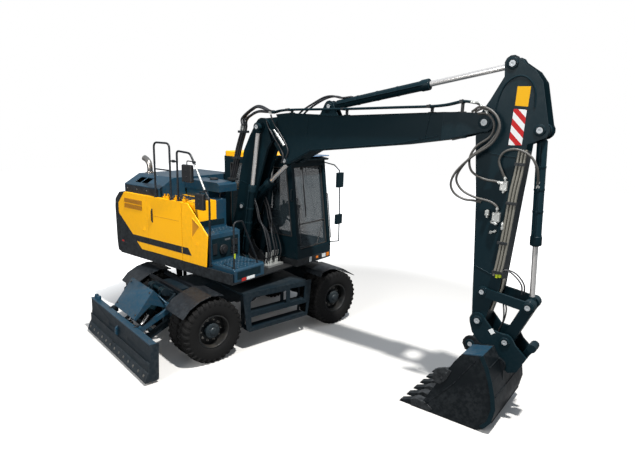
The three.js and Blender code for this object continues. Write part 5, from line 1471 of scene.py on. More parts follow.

# The louvre: a film in a deeper yellow, painted shade for a recess, with slats laid over it in two rows; the
# slats carry a lighter painted shade.
louvre_back = plain("louvre shade", "8a5c0a", 0.6, noise_scale=120.0)
crease_shade = plain("pressed shade", "c07f0c", 0.5, noise_scale=60.0)
louvre_rows = [(2.125, 2.205), (2.225, 2.305)]


def build_louvre_shade(bm):
    for low, high in louvre_rows:
        add_prism(bm, [(-1.79, low), (-1.25, low - 0.004), (-1.24, high - 0.004), (-1.775, high)],
                  -panel_y + 0.004, -film_out)


def build_louvre_slats(bm):
    for low, high in louvre_rows:
        for k in range(5):
            z = low + (high - low) * (k + 0.5) / 5
            slat = [(-1.785, z - 0.0045), (-1.243, z - 0.0085), (-1.243, z - 0.0015), (-1.785, z + 0.0030)]
            add_prism(bm, slat, -panel_y, -panel_y - 0.007)


make_piece("louvre_shade", build_louvre_shade, "upper", louvre_back, bevel=0)
make_piece("louvre_slats", build_louvre_slats, "upper", crease_shade, bevel=0.0015)

# The handle is a black bar in a shallow black dish; the mark left of it is a pressed circle.
def build_handle(bm):
    add_block(bm, (-0.966, -panel_y - 0.006, 1.955), (-0.930, -panel_y + 0.004, 2.20))
    add_block(bm, (-0.957, -panel_y - 0.022, 1.985), (-0.939, -panel_y - 0.004, 2.17))


def build_pressings(bm):
    add_prism(bm, [(-0.905, 2.076), (-0.215, 2.078), (-0.215, 2.084), (-0.905, 2.082)], -panel_y + 0.004,
              -film_out)


def build_round_marks(bm):
    for x, z in ((-1.20, 1.80), (0.24, 1.76)):
        add_turned(bm, (x, -panel_y + 0.002, z), (0, -1, 0),
                   [(0.036, 0.0), (0.036, 0.005), (0.028, 0.005), (0.026, 0.003), (0, 0.003)], 28)
        add_block(bm, (x - 0.006, -panel_y - 0.006, z - 0.016), (x + 0.006, -panel_y, z + 0.016))


def build_front_vent(bm):
    add_prism(bm, [(0.132, 2.17), (0.120, 1.86), (0.300, 2.065)], -panel_y + 0.004, -film_out)


make_piece("door_handle", build_handle, "right_door", black_plastic, bevel=0.004)
# The door's crease and the front vent are films in a darker yellow: painted shade for a pressing and a
# recess.
make_piece("door_crease", build_pressings, "right_door", crease_shade, bevel=0)
make_piece("panel_marks", build_round_marks, "upper", yellow, bevel=0.0015)
make_piece("panel_vent_shade", build_front_vent, "upper", crease_shade, bevel=0)
make_piece("panel_vent_rim", lambda bm: add_tube(bm, bent_path(
    [Vector(spot) for spot in ((0.112, -1.243, 1.84), (0.128, -1.243, 2.185), (0.315, -1.243, 2.062))], 0.02),
    0.009, 8), "upper", yellow, bevel=0)

# %% [markdown]
# ## Rails, exhaust and hood
# The handrails are bent from one tube each, with flanges at the feet. A rail bent to a real
# radius shows one long highlight; a mitred corner would break it.

# %% Handrails
rail_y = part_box("side_handrail")[0].y + 0.035
deck_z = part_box("right_rear_panel")[1].z
rail_radius, front_rail_radius = 0.017, 0.015


def rail_path(points, bend=0.06):
    return bent_path([Vector(point) for point in points], bend)


def build_side_rails(bm):
    y, foot = rail_y, deck_z
    add_tube(bm, rail_path([(-0.86, y, foot), (-0.86, y, 3.345), (-0.44, y, 3.345), (-0.44, y, foot)], 0.09),
             rail_radius, 14)
    add_rod(bm, (-0.86, y, 2.90), (-0.44, y, 2.90), 0.013, 12)
    add_tube(bm,
             rail_path([(-0.25, y, foot), (-0.25, y, 3.235), (0.08, y, 3.215), (0.17, y, 3.08),
                        (0.20, y, 3.03)]),
             rail_radius, 14)
    add_rod(bm, (-0.44, y, 3.06), (-0.25, y, 3.06), 0.013, 12)
    add_tube(bm, rail_path([(0.415, y, 2.665), (0.43, y, 2.64), (0.52, y, 2.52), (0.52, y, 1.44),
                            (0.52, y + 0.03, 1.44)], 0.03), rail_radius, 14)
    for x in (-0.86, -0.44, -0.25):
        add_turned(bm, (x, y, foot), (0, 0, 1),
                   [(0, 0), (0.032, 0), (0.032, 0.008), (0.018, 0.016), (0, 0.016)], 20)
    for x, z in ((-0.345, 3.06), (0.175, 3.075), (0.428, 2.645)):
        add_rod(bm, (x - 0.022, y, z), (x + 0.022, y, z), 0.023, 16)


def build_shiny_rail(bm):
    add_rod(bm, (0.19, rail_y, 3.047), (0.42, rail_y, 2.657), 0.0165, 16)


def build_side_mirrors(bm):
    for low, high in (((-0.11, 2.75), (0.13, 3.03)), ((0.20, 2.33), (0.41, 2.59))):
        add_block(bm, (low[0], rail_y - 0.034, low[1]), (high[0], rail_y + 0.034, high[1]))


def build_mirror_hangers(bm):
    y = rail_y
    add_tube(bm, rail_path([(0.0, y, 3.02), (0.0, y, 3.09), (0.17, y, 3.085)], 0.04), 0.009, 10)
    add_tube(bm, rail_path([(0.30, y, 2.58), (0.30, y, 2.625), (0.44, y, 2.63)], 0.03), 0.009, 10)
    for x, z in ((0.01, 2.93), (0.01, 2.83), (0.305, 2.50), (0.305, 2.42)):
        add_turned(bm, (x, y - 0.033, z), (0, -1, 0), [(0, 0), (0.016, 0), (0.013, 0.006), (0, 0.006)], 16)


def build_mirror_faces(bm):
    for low, high in (((-0.095, 2.765), (0.115, 3.015)), ((0.215, 2.345), (0.395, 2.575))):
        add_block(bm, (low[0], rail_y + 0.030, low[1]), (high[0], rail_y + 0.0345, high[1]))


make_piece("side_rail_tubes", build_side_rails, "upper", fender_black, bevel=0, replaces=("side_handrail",))
make_piece("side_rail_slope", build_shiny_rail, "upper", fitting_steel, bevel=0)
make_piece("side_mirrors", build_side_mirrors, "upper", black_plastic, bevel=0.02, segments=3)
make_piece("side_mirror_hangers", build_mirror_hangers, "upper", fender_black, bevel=0)
make_piece("side_mirror_faces", build_mirror_faces, "upper", mirror_look, bevel=0)


def build_front_rail(bm):
    x = 0.985
    add_tube(bm, rail_path([(x, -1.14, 1.47), (x, -1.14, 2.215), (x, -0.96, 2.215), (x, -0.93, 2.15),
                            (x, -0.63, 1.53), (x, -0.63, 1.47)], 0.075), front_rail_radius, 14)
    for y in (-1.14, -0.63):
        add_turned(bm, (x, y, 1.47), (0, 0, 1), [(0, 0), (0.028, 0), (0.028, 0.007), (0, 0.012)], 18)


make_piece("front_rail_tube", build_front_rail, "upper", fender_black, bevel=0,
           replaces=("front_handrail",))

# %% Exhaust, painted shade in its mouth and on the hood's side, and hood bolts
exhaust_path = smooth_path([Vector((x, -0.70, z)) for x, z in
                            ((-1.740, 2.731), (-1.740, 2.84), (-1.765, 2.92), (-1.83, 2.975),
                             (-1.886, 2.995))], 8)
mouth_way = Vector((-0.941, 0.0, 0.336))
mouth = Vector((-1.900, -0.70, 3.000))


def build_exhaust(bm):
    add_tube(bm, exhaust_path, 0.052, 28)
    add_turned(bm, mouth, mouth_way,
               [(0.052, -0.03), (0.055, -0.008), (0.055, 0.0), (0.047, 0.0), (0.046, -0.012)], 28)
    add_turned(bm, (-1.740, -0.70, 2.7305), (0, 0, 1),
               [(0, 0), (0.085, 0), (0.085, 0.010), (0.060, 0.016), (0.058, 0.03), (0, 0.03)], 32)


# A black disc just inside the lip closes the pipe: painted shade for the hollow of the open pipe.
def build_painted_exhaust_shade(bm):
    add_turned(bm, mouth, mouth_way, [(0.0466, -0.013), (0, -0.0125)], 24)


make_piece("exhaust_bend", build_exhaust, "engine_hood", exhaust_steel, bevel=0, replaces=("exhaust_pipe",))
make_piece("exhaust_mouth_painted_shade", build_painted_exhaust_shade, "engine_hood", black_plastic, bevel=0)

hood_low, hood_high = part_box("engine_hood")


# A charcoal film along the hood's vertical side: painted shade, darker than the sky-lit top.
def build_painted_hood_shade(bm):
    add_block(bm, (hood_low.x + 0.035, hood_low.y - 0.0015, hood_low.z + 0.012),
              (hood_high.x - 0.03, hood_low.y + 0.01, hood_low.z + 0.135))


def build_hood_bolts(bm):
    spots = [(x, hood_low.y - 0.001, hood_low.z + 0.075) for x in (-1.74, -1.45, -1.16, -0.88)]
    add_bolts(bm, spots, (0, -1, 0), 0.012, 0.006)


make_piece("hood_side_painted_shade", build_painted_hood_shade, "engine_hood", charcoal, bevel=0)
make_piece("hood_bolts", build_hood_bolts, "engine_hood", bare_steel, bevel=0.001)
print("panels, rails and hood done; pieces so far:", piece_count["pieces"])

# %% [markdown]
# ## Steps, tanks and lamps at the right front corner
# The corner is climbed like a staircase, and each step is covered with a grip plate: small
# raised rings punched through thin steel. They are small, but a wide plain step reads as a toy.

# %% Grip plates, caps, reflectors and the yellow box
def build_grip_plate(low, high, z, pitch=0.075):
    def build(bm):
        add_block(bm, (low[0], low[1], z), (high[0], high[1], z + 0.004))
        columns = max(1, int((high[0] - low[0]) / pitch))
        rows = max(1, int((high[1] - low[1]) / pitch))
        for i in range(columns):
            for j in range(rows):
                x = low[0] + (high[0] - low[0]) * (i + 0.5) / columns
                y = low[1] + (high[1] - low[1]) * (j + 0.5) / rows
                add_turned(bm, (x, y, z + 0.003), (0, 0, 1),
                           [(0.024, 0.0), (0.020, 0.008), (0.015, 0.008), (0.013, 0.001)], 12)
    return build


grip_steps = {
    "tool_box_grip": ((0.475, -1.165), (1.005, -0.53), 1.4705),
    "tank_step_grip": ((0.155, -1.165), (0.37, -0.53), 1.9505),
    "tank_top_grip": ((-0.12, -0.60), (0.125, -0.53), 2.4205),
    "deck_grip": ((-0.79, -1.15), (-0.20, -0.72), 2.4105),
}
grip_finish = {"deck_grip": charcoal}
for name, (low, high, z) in grip_steps.items():
    make_piece(name, build_grip_plate(low, high, z), "upper", grip_finish.get(name, teal), bevel=0)


def build_painted_step_shade(bm):
    """Thin dark plates on the front faces of the steps: painted shade, so that the staircase isn't one flat
    wall.
    """
    add_block(bm, (0.469, -1.13, 1.52), (0.478, -0.56, 1.86))
    add_block(bm, (0.139, -1.13, 2.00), (0.146, -0.56, 2.09))
    add_block(bm, (1.039, -1.12, 1.30), (1.046, -0.60, 1.42))


def build_front_fittings(bm):
    add_turned(bm, (0.476, -0.90, 1.66), (1, 0, 0),
               [(0.0, 0.0), (0.085, 0.0), (0.085, 0.028), (0.068, 0.036), (0.0, 0.036)], 28)
    add_turned(bm, (0.476, -0.90, 1.66), (1, 0, 0), [(0.045, 0.034), (0.045, 0.052), (0.0, 0.052)], 20)
    add_block(bm, (0.475, -1.12, 1.60), (0.495, -1.04, 1.78))
    add_block(bm, (0.475, -0.72, 1.70), (0.510, -0.60, 1.80))
    for k in range(4):
        add_block(bm, (0.478, -0.735, 1.56 + 0.03 * k), (0.492, -0.585, 1.572 + 0.03 * k))


# The dark plates on the step fronts are painted shade.
make_piece("step_fronts_painted_shade", build_painted_step_shade, "upper", slate, bevel=0.003)
make_piece("step_front_fittings", build_front_fittings, "upper", black_plastic, bevel=0.004)
make_piece("step_labels", block_maker((0.477, -0.86, 1.80), (0.4805, -0.74, 1.83)), "upper", grey_plastic,
           bevel=0)


def build_yellow_box(bm):
    add_block(bm, (-0.128, -1.186, 2.10), (0.147, -0.74, 2.4235))
    add_block(bm, (-0.128, -1.190, 2.13), (0.10, -1.184, 2.39))


def build_yellow_brackets(bm):
    for x, y, tall in ((-0.66, -1.17, 0.035), (-0.55, -1.19, 0.05), (-0.36, -1.17, 0.045),
                       (-0.12, -1.19, 0.05)):
        add_block(bm, (x - 0.04, y - 0.02, deck_z), (x + 0.04, y + 0.05, deck_z + tall))
        add_block(bm, (x - 0.012, y - 0.015, deck_z + tall - 0.01),
                  (x + 0.012, y + 0.02, deck_z + tall + 0.04))


def build_deck_tops(bm):
    for x, y in ((-0.05, -0.95), (0.06, -0.86)):
        add_turned(bm, (x, y, 2.421), (0, 0, 1), [(0, 0), (0.04, 0), (0.04, 0.03), (0.028, 0.04), (0, 0.04)],
                   20)
    add_turned(bm, (-0.33, -0.36, 2.70), (0, 0, 1),
               [(0, 0), (0.075, 0), (0.075, 0.022), (0.06, 0.032), (0, 0.032)], 28)


make_piece("side_service_box", build_yellow_box, "upper", yellow, bevel=0.008)
make_piece("yellow_brackets", build_yellow_brackets, "upper", yellow, bevel=0.006)
make_piece("deck_caps", build_deck_tops, "upper", black_plastic, bevel=0.002)
make_piece("tank_lid_hinges", lambda bm: [add_rod(bm, (x, -0.235, 2.70), (x + 0.10, -0.235, 2.70), 0.012, 12)
                                          for x in (-0.62, -0.10)], "upper", slate, bevel=0)

lamp_specs = [
    ("corner_lamp_amber", amber_lens, (0.86, -1.192, 1.275), (0.95, -1.181, 1.335)),
    ("corner_reflector_red", red_lens, (1.039, -1.03, 1.245), (1.048, -0.93, 1.305)),
    ("corner_reflector_white", white_lens, (1.039, -0.92, 1.245), (1.048, -0.74, 1.305)),
    ("lime_mark_low", lime_sleeve, (0.50, -1.190, 1.345), (0.57, -1.181, 1.385)),
    ("lime_mark_step", lime_sleeve, (1.000, -1.150, 1.640), (1.0035, -1.122, 1.72)),
    ("tail_mark_red", red_lens, (-1.93, -1.2475, 1.46), (-1.86, -1.243, 1.49)),
]
for name, finish, low, high in lamp_specs:
    make_piece(name, block_maker(low, high), "upper", finish, bevel=0.003)
print("steps and lamps done; pieces so far:", piece_count["pieces"])

# %% [markdown]
# ## The cab
# The cab is mostly glass, so its outline is drawn by black rubber gaskets. The panes lean, and a
# ray finds the glass at any height. Each gasket, bar and wiper then lies on the surface instead
# of near it.

# %% Roof, gaskets, wipers and lamps
def front_x(nodes, y, z, from_x=4.0):
    """How far forward the first of these solids stands at (y, z)."""
    hits = [surface(node).ray_cast(Vector((from_x, y, z)), Vector((-1, 0, 0)))[0] for node in nodes]
    found = [hit.x for hit in hits if hit]
    return max(found) if found else 1.0


cab_nodes = ("cab_shell", "cab_glass")
cab_left, cab_right = 1.245, 0.262
roof_outline = [(-0.738, 0.300), (-0.715, 0.278), (0.56, 0.278), (0.66, 0.34), (0.66, 1.17), (0.56, 1.229),
                (-0.715, 1.229), (-0.738, 1.207)]
visor_tint = plain("tinted visor", "4f6f8f", 0.12, noise_scale=20.0, depth=0.1)
make_piece("cab_roof_cap", lambda bm: add_prism(bm, roof_outline, 3.045, 3.176, axes=(0, 1, 2)), "upper",
           yellow, bevel=0.022, segments=3)
make_piece("cab_visor_sheet", block_maker((0.60, 0.305, 3.150), (1.067, 1.202, 3.168)), "upper",
           visor_tint, bevel=0.006)
make_piece("cab_roof_hatch", block_maker((-0.45, 0.45, 3.170), (0.25, 1.06, 3.184)), "upper",
           yellow, bevel=0.010)


def shield_line(ys_zs, lift=0.004):
    """A path over the windscreen, through (y, z) points."""
    return [Vector((front_x(cab_nodes, y, z) + lift, y, z)) for y, z in ys_zs]


screen_left, screen_right, screen_low, screen_high = 1.165, 0.343, 1.527, 2.968


def build_screen_gaskets(bm):
    glass = ("cab_glass",)
    corners = [(screen_right, screen_low), (screen_left, screen_low), (screen_left, screen_high),
               (screen_right, screen_high)]
    spots = [Vector((front_x(glass, min(max(y, 0.36), 1.15), z) + 0.006, y, z)) for y, z in corners]
    add_rod_loop(bm, spots, 0.013)
    middle = [Vector((front_x(glass, y, 1.965) + 0.006, y, 1.965)) for y in (0.36, 1.15)]
    add_rod(bm, middle[0] + Vector((0, -0.017, 0)), middle[1] + Vector((0, 0.015, 0)), 0.010, 8)


def build_side_gaskets(bm):
    y = cab_right - 0.001
    top, low = 2.955, 1.765
    front_top, front_low = front_x(cab_nodes, 0.30, top) - 0.115, front_x(cab_nodes, 0.30, low) - 0.115
    side_ring = [(-0.555, low), (front_low, low), (front_top, top), (-0.555, top)]
    add_rod_loop(bm, [(x, y, z) for x, z in side_ring], 0.011)
    rear_ring = [(0.357, 2.155), (1.150, 2.155), (1.150, 2.955), (0.357, 2.955)]
    add_rod_loop(bm, [(-0.731, y, z) for y, z in rear_ring], 0.011)


def build_wipers(bm):
    upper = shield_line([(0.60, 2.93), (0.60, 2.60), (0.605, 2.20)], 0.030)
    add_tube(bm, upper, 0.007, 8)
    blade = shield_line([(0.606, 2.66), (0.606, 2.07)], 0.016)
    add_tube(bm, blade, 0.009, 8)
    lower = shield_line([(0.84, 1.545), (0.95, 1.72), (1.06, 1.90)], 0.030)
    add_tube(bm, lower, 0.007, 8)
    blade = shield_line([(0.90, 1.60), (1.09, 1.93)], 0.018)
    add_tube(bm, blade, 0.009, 8)
    for y, z in ((0.60, 2.945), (0.83, 1.535)):
        spot = Vector((front_x(cab_nodes, y, z), y, z))
        add_turned(bm, spot + Vector((-0.004, 0, 0)), (1, 0, 0),
                   [(0, 0), (0.030, 0), (0.026, 0.03), (0, 0.036)], 20)


def build_cab_handles(bm):
    for y in (0.310, 1.205):
        foot, head = shield_line([(y, 1.62), (y, 2.45)], 0.0)
        out = Vector((0.045, 0, 0))
        add_tube(bm, bent_path([foot, foot + out, head + out, head], 0.04), 0.009, 10)
    add_tube(bm, rail_path([(0.985, 0.255, 2.60), (0.985, 0.215, 2.60), (0.985, 0.215, 2.40),
                            (0.985, 0.255, 2.40)], 0.02), 0.008, 10)


make_piece("windscreen_gaskets", build_screen_gaskets, "upper", black_trim, bevel=0)
make_piece("cab_side_gaskets", build_side_gaskets, "upper", black_trim, bevel=0)
make_piece("wipers", build_wipers, "upper", black_plastic, bevel=0)
make_piece("cab_grab_handles", build_cab_handles, "upper", fender_black, bevel=0)


def build_door_trim(bm):
    y = cab_left + 0.0005
    low, high = 1.565, 2.895
    ring = [(-0.185, low), (0.965, low), (0.845, high), (-0.185, high)]
    add_rod_loop(bm, [(x, y, z) for x, z in ring], 0.010)


def build_door_handle(bm):
    add_block(bm, (-0.235, cab_left - 0.004, 2.02), (-0.200, cab_left + 0.010, 2.20))
    add_block(bm, (-0.228, cab_left + 0.004, 2.05), (-0.208, cab_left + 0.028, 2.17))


make_piece("cab_door_gasket", build_door_trim, "cab_door", black_trim, bevel=0)
make_piece("cab_door_handle", build_door_handle, "cab_door", black_plastic, bevel=0.004)


def beam_lens(y0, y1, z0, z1):
    """A lens on the beam under the windscreen, wherever the beam's face is."""
    x = front_x(("cab_shell", "upper_frame"), (y0 + y1) / 2, (z0 + z1) / 2)
    return (x - 0.01, y0, z0), (x + 0.008, y1, z1)


for name, finish, limits in (
    ("beam_plate_white", white_lens, (0.60, 0.66, 1.255, 1.345)),
    ("beam_lamp_white", white_lens, (0.98, 1.09, 1.265, 1.335)),
    ("beam_lamp_amber", amber_lens, (1.12, 1.20, 1.265, 1.335)),
    ("beam_lamp_small", amber_lens, (0.80, 0.86, 1.285, 1.325)),
):
    low, high = beam_lens(*limits)
    make_piece(name, block_maker(low, high), "upper", finish, bevel=0.003)


def build_mirror_backs(bm):
    for low, high in ((2.59, 2.86), (1.90, 2.08)):
        add_block(bm, (1.256, 1.180, low + 0.015), (1.262, 1.320, high - 0.015))


make_piece("cab_mirror_faces", build_mirror_backs, "upper", mirror_look, bevel=0)

# %% [markdown]
# ## Inside the cab
# A driver's seat shows through the glass. Its cushions are foam under cloth, so they are
# swollen shapes with pulled-in sides, not boxes. A block is cut into a fine grid, pushed out
# into a pillow, and a groove is pressed along its seams.

# %% Seat cushions, wheel and levers
seat_y = 0.7535


def make_cushion(name, low, high, crown, grooves=(), tilt=0.0):
    """A crowned cushion: the middle of each face swells, and the sides pull in between the corners."""
    size = [high[axis] - low[axis] for axis in range(3)]
    middle = Vector((low[axis] + high[axis]) / 2 for axis in range(3))
    bm = bmesh.new()
    bmesh.ops.create_cube(bm, size=2.0)
    bmesh.ops.subdivide_edges(bm, edges=bm.edges, cuts=15, use_grid_fill=True)
    thin = size.index(min(size))
    wide = [axis for axis in range(3) if axis != thin]
    for vert in bm.verts:
        u, v = vert.co[wide[0]], vert.co[wide[1]]
        bulge = (1 - u ** 4) * (1 - v ** 4)
        depth = vert.co[thin]
        swell = 0.62 + crown * bulge
        for place in grooves:
            swell -= 0.16 * math.exp(-((v - place) / 0.06) ** 2) * bulge
        pull = 1 - 0.035 * (1 - max(abs(u), abs(v)) ** 8)
        round_off = 1 - 0.05 * (u * v) ** 4
        vert.co[thin] = depth * swell
        vert.co[wide[0]] = u * (1 - 0.03 * (1 - v * v)) * round_off * pull
        vert.co[wide[1]] = v * (1 - 0.03 * (1 - u * u)) * round_off * pull
        vert.co = Vector(vert.co[axis] * size[axis] / 2 for axis in range(3))
    bmesh.ops.rotate(bm, verts=bm.verts, cent=(0, 0, 0), matrix=Matrix.Rotation(tilt, 3, "Y"))
    bmesh.ops.translate(bm, verts=bm.verts, vec=middle)
    cushion = mesh_object(name, bm)
    dress(cushion, "upper", seat_cloth, bevel=0.012, segments=2, smooth=50.0)


make_cushion("seat_cushion", (-0.40, seat_y - 0.24, 1.80), (0.16, seat_y + 0.24, 1.93), 0.42, (-0.6, 0.6),
             -0.06)
make_cushion("seat_back_cushion", (-0.40, seat_y - 0.23, 1.93), (-0.27, seat_y + 0.23, 2.44), 0.40,
             (-0.6, 0.6), -0.14)
make_cushion("head_cushion", (-0.47, seat_y - 0.13, 2.44), (-0.37, seat_y + 0.13, 2.60), 0.38, (), -0.14)


def build_wheel(bm):
    centre = Vector((0.545, seat_y, 2.105))
    lean = Matrix.Rotation(math.radians(-35), 3, "Y")
    ring = [centre + lean @ Vector((0.19 * math.cos(a), 0.19 * math.sin(a), 0.014))
            for a in (2 * math.pi * k / 36 for k in range(37))]
    add_tube(bm, ring, 0.017, 10)
    for k in range(3):
        a = 2 * math.pi * k / 3 + 0.5
        add_rod(bm, centre, centre + lean @ Vector((0.18 * math.cos(a), 0.18 * math.sin(a), 0.012)), 0.011, 8)
    add_turned(bm, centre, lean @ Vector((0, 0, 1)), [(0, -0.02), (0.05, -0.02), (0.05, 0.02), (0, 0.03)], 20)


def build_levers(bm):
    for side in sides:
        base = Vector((0.08, seat_y + side * 0.32, 2.005))
        add_turned(bm, base, (0, 0, 1), [(0, 0), (0.032, 0), (0.024, 0.03), (0.012, 0.08), (0, 0.08)], 16)
        add_rod(bm, base + Vector((0, 0, 0.06)), base + Vector((0.01, -side * 0.01, 0.14)), 0.010, 10)
        add_turned(bm, base + Vector((0.01, -side * 0.01, 0.13)), (0.1, -side * 0.1, 1),
                   [(0, 0), (0.020, 0.0), (0.026, 0.05), (0.022, 0.10), (0, 0.115)], 16)
    add_block(bm, (0.60, cab_right + 0.11, 2.05), (0.63, cab_right + 0.35, 2.28))


make_piece("steering_wheel", build_wheel, "upper", black_plastic, bevel=0)
make_piece("seat_levers_and_screen", build_levers, "upper", black_plastic, bevel=0.003)
make_piece("cab_yellow_lever", lambda bm: add_rod(bm, (0.86, 0.50, 1.50), (0.84, 0.50, 1.95), 0.014, 12),
           "upper", plate_yellow, bevel=0)
print("cab done; pieces so far:", piece_count["pieces"])

# %% [markdown]
# ## The blade, seen up close
# A blade wears at its lower edge, so a hard strip is bolted there. Bolt heads are the smallest
# details that can still be seen from a few metres, and a row of them gives the blade its size.

# %% Cutting edge, bolts, top lugs and cover knobs
blade_half = 1.245


def build_cutting_edge(bm):
    strip = [(-2.4412, 0.041), (-2.4535, 0.044), (-2.404, 0.178), (-2.391, 0.180)]
    for near, far in ((-blade_half + 0.004, -0.002), (0.002, blade_half - 0.004)):
        add_prism(bm, strip, near, far)


def build_edge_bolts(bm):
    spots = [(-2.427, y, 0.118) for y in [-1.14 + 0.19 * k for k in range(13)]]
    add_bolts(bm, spots, (-0.94, 0, 0.34), 0.015, 0.010)


def build_blade_top(bm):
    add_block(bm, (-2.356, -blade_half + 0.002, 0.596), (-2.252, blade_half - 0.002, 0.616))
    for y in (1.02, 1.14):
        add_turned(bm, (-2.29, y, 0.612), (0, 0, 1),
                   [(0, 0), (0.036, 0), (0.036, 0.05), (0.030, 0.075), (0, 0.08)], 20)
    hook = [(-2.345, 0.50), (-2.395, 0.46), (-2.405, 0.37), (-2.375, 0.33), (-2.345, 0.35)]
    add_prism(bm, hook, -0.022, 0.022)


def build_cover_knobs(bm):
    slant, out = Vector((-0.615, 0, -0.789)), Vector((-0.789, 0, 0.615))
    corner = Vector((-1.915, 0, 1.095))
    for y in (-0.37, 0.37):
        for down in (0.05, 0.45):
            add_turned(bm, corner + slant * down + Vector((0, y, 0)) - out * 0.006, out,
                       [(0, 0), (0.024, 0), (0.024, 0.014), (0.016, 0.026), (0, 0.028)], 20)
    for y in (-0.22, 0.20):
        add_turned(bm, corner + slant * 0.10 + Vector((0, y, 0)) - out * 0.002, out,
                   drum(0.020, 0.004), 20)


make_piece("blade_cutting_edge", build_cutting_edge, "blade", blade_teal, chassis_turn, bevel=0.002)
make_piece("blade_edge_bolts", build_edge_bolts, "blade", bare_steel, chassis_turn, bevel=0.001)
make_piece("blade_top_flange", build_blade_top, "blade", teal, chassis_turn, bevel=0.004)
make_piece("blade_cover_knobs", build_cover_knobs, "blade_link", black_plastic, chassis_turn, bevel=0.001)


def build_drive_line(bm):
    for x0, x1 in ((-1.10, -0.30), (0.30, 1.10)):
        add_rod(bm, (x0, 0, 0.56), (x1, 0, 0.60), 0.048, 24)
        for x in (x0, x1):
            add_turned(bm, (x - 0.03, 0, 0.58), (1, 0, 0), drum(0.075, 0.06), 20)
    add_block(bm, (-0.26, -0.20, 0.47), (0.28, 0.20, 0.72))
    add_turned(bm, (0.02, -0.30, 0.60), (0, 1, 0),
               [(0, 0), (0.13, 0), (0.15, 0.03), (0.15, 0.57), (0.13, 0.60), (0, 0.60)], 32)


def build_axle_housings(bm):
    for x in (-1.3, 1.3):
        add_turned(bm, (x, -0.155, 0.515), (0, 1, 0),
                   [(0, 0), (0.12, 0.0), (0.19, 0.06), (0.205, 0.155), (0.19, 0.25), (0.12, 0.31), (0, 0.31)],
                   32)


make_piece("drive_line", build_drive_line, "chassis", engine_cast, chassis_turn, bevel=0.008)
make_piece("axle_housings", build_axle_housings, "chassis", slate_frame, chassis_turn, bevel=0)
print("blade and drive line done; pieces so far:", piece_count["pieces"])

# %% [markdown]
# ## Bucket and quick coupler
# Teeth are two parts: an adapter welded to the lip, and a point driven over it. The bucket's
# side plates have a raised rim at the back, a weld line across them and a bolted cutter in front.

# %% Adapters, cutters, rims and welds
bucket_half = 0.590
tooth_pitch = (2 * bucket_half - 0.110) / 5
back_line = [(4.900, 0.055), (4.985, 0.170), (5.020, 0.360), (4.995, 0.520), (4.945, 0.710), (4.885, 0.870),
             (4.805, 1.020)]


def build_adapters(bm):
    shape = [(3.905, 0.004), (4.17, 0.004), (4.215, 0.060), (4.09, 0.128), (3.965, 0.128), (3.895, 0.090)]
    for k in range(6):
        y = boom_y - bucket_half + 0.055 + tooth_pitch * k
        add_prism(bm, shape, y - 0.060, y + 0.060)
        add_turned(bm, (3.955, y - 0.067, 0.062), (0, 1, 0), drum(0.018, 0.134), 14)


def build_cutters(bm):
    shape = [(4.165, 0.505), (4.205, 0.640), (4.235, 0.665), (4.335, 0.705), (4.425, 0.690), (4.365, 0.545),
             (4.285, 0.462)]
    for side in sides:
        y = boom_y + side * bucket_half
        add_prism(bm, shape, y - side * 0.028, y + side * 0.014)
        add_bolts(bm, [(4.305, y + side * 0.014, 0.545), (4.365, y + side * 0.014, 0.640)], (0, side, 0),
                  0.018, 0.012)


def build_bucket_rims(bm):
    inner = [(x - 0.055, z + (0.02 if k == 0 else 0.0)) for k, (x, z) in enumerate(back_line)]
    for side in sides:
        y = boom_y + side * bucket_half
        outline = back_line + [(4.760, 0.985)] + inner[-2::-1]
        add_prism(bm, outline, y - side * 0.004, y + side * 0.008)


def build_bucket_welds(bm):
    for side in sides:
        y = boom_y + side * (bucket_half + 0.001)
        add_tube(bm, [(4.72, y, 0.93), (4.46, y, 0.52), (4.11, y, 0.10)], 0.0055, 6)
    for x, z in back_line[1:6:2]:
        add_rod(bm, (x + 0.001, boom_y - 0.57, z), (x + 0.001, boom_y + 0.57, z), 0.007, 8)


# Teal strips along the top of the bucket's wrapper: a painted highlight for the sky mirrored there.
def build_painted_bucket_highlight(bm):
    top = [(4.546, 0.973), (4.552, 0.958), (4.802, 1.008), (4.800, 1.025)]
    add_prism(bm, top, boom_y - 0.592, boom_y - 0.235)
    add_prism(bm, top, boom_y + 0.235, boom_y + 0.592)


make_piece("bucket_tooth_adapters", build_adapters, "bucket", tooth_steel, bevel=0.006)
make_piece("bucket_side_cutters", build_cutters, "bucket", tooth_steel, bevel=0.005)
make_piece("bucket_rims", build_bucket_rims, "bucket", slate, bevel=0.003)
make_piece("bucket_welds", build_bucket_welds, "bucket", bucket_steel, bevel=0)
make_piece("bucket_top_painted_highlight", build_painted_bucket_highlight, "bucket", teal, bevel=0.003)

coupler_face = outer_y(("quick_coupler",), 4.73, 1.16, -1)
plate_spots = [(4.708, 1.200), (4.752, 1.150), (4.798, 1.188), (4.754, 1.238)]
make_piece("coupler_plate", lambda bm: add_prism(bm, plate_spots, coupler_face - 0.002, coupler_face + 0.003),
           "bucket", white_lens, bevel=0)


def build_coupler_block(bm):
    add_block(bm, (4.76, boom_y - 0.09, 0.99), (4.93, boom_y + 0.07, 1.04))
    for y in (-0.06, 0.0, 0.05):
        add_turned(bm, (4.80, boom_y + y, 1.03), (-0.2, 0, 1), drum(0.019, 0.05), 6)


make_piece("coupler_valve_block", build_coupler_block, "bucket", fitting_steel, bevel=0.003)
print("bucket done; pieces so far:", piece_count["pieces"])

# %% [markdown]
# ## Hoses at the front end
# Small black hoses feed the arm cylinder, the quick coupler and the cylinders at the boom's foot.
# Lime sleeves show where a hose rubs.

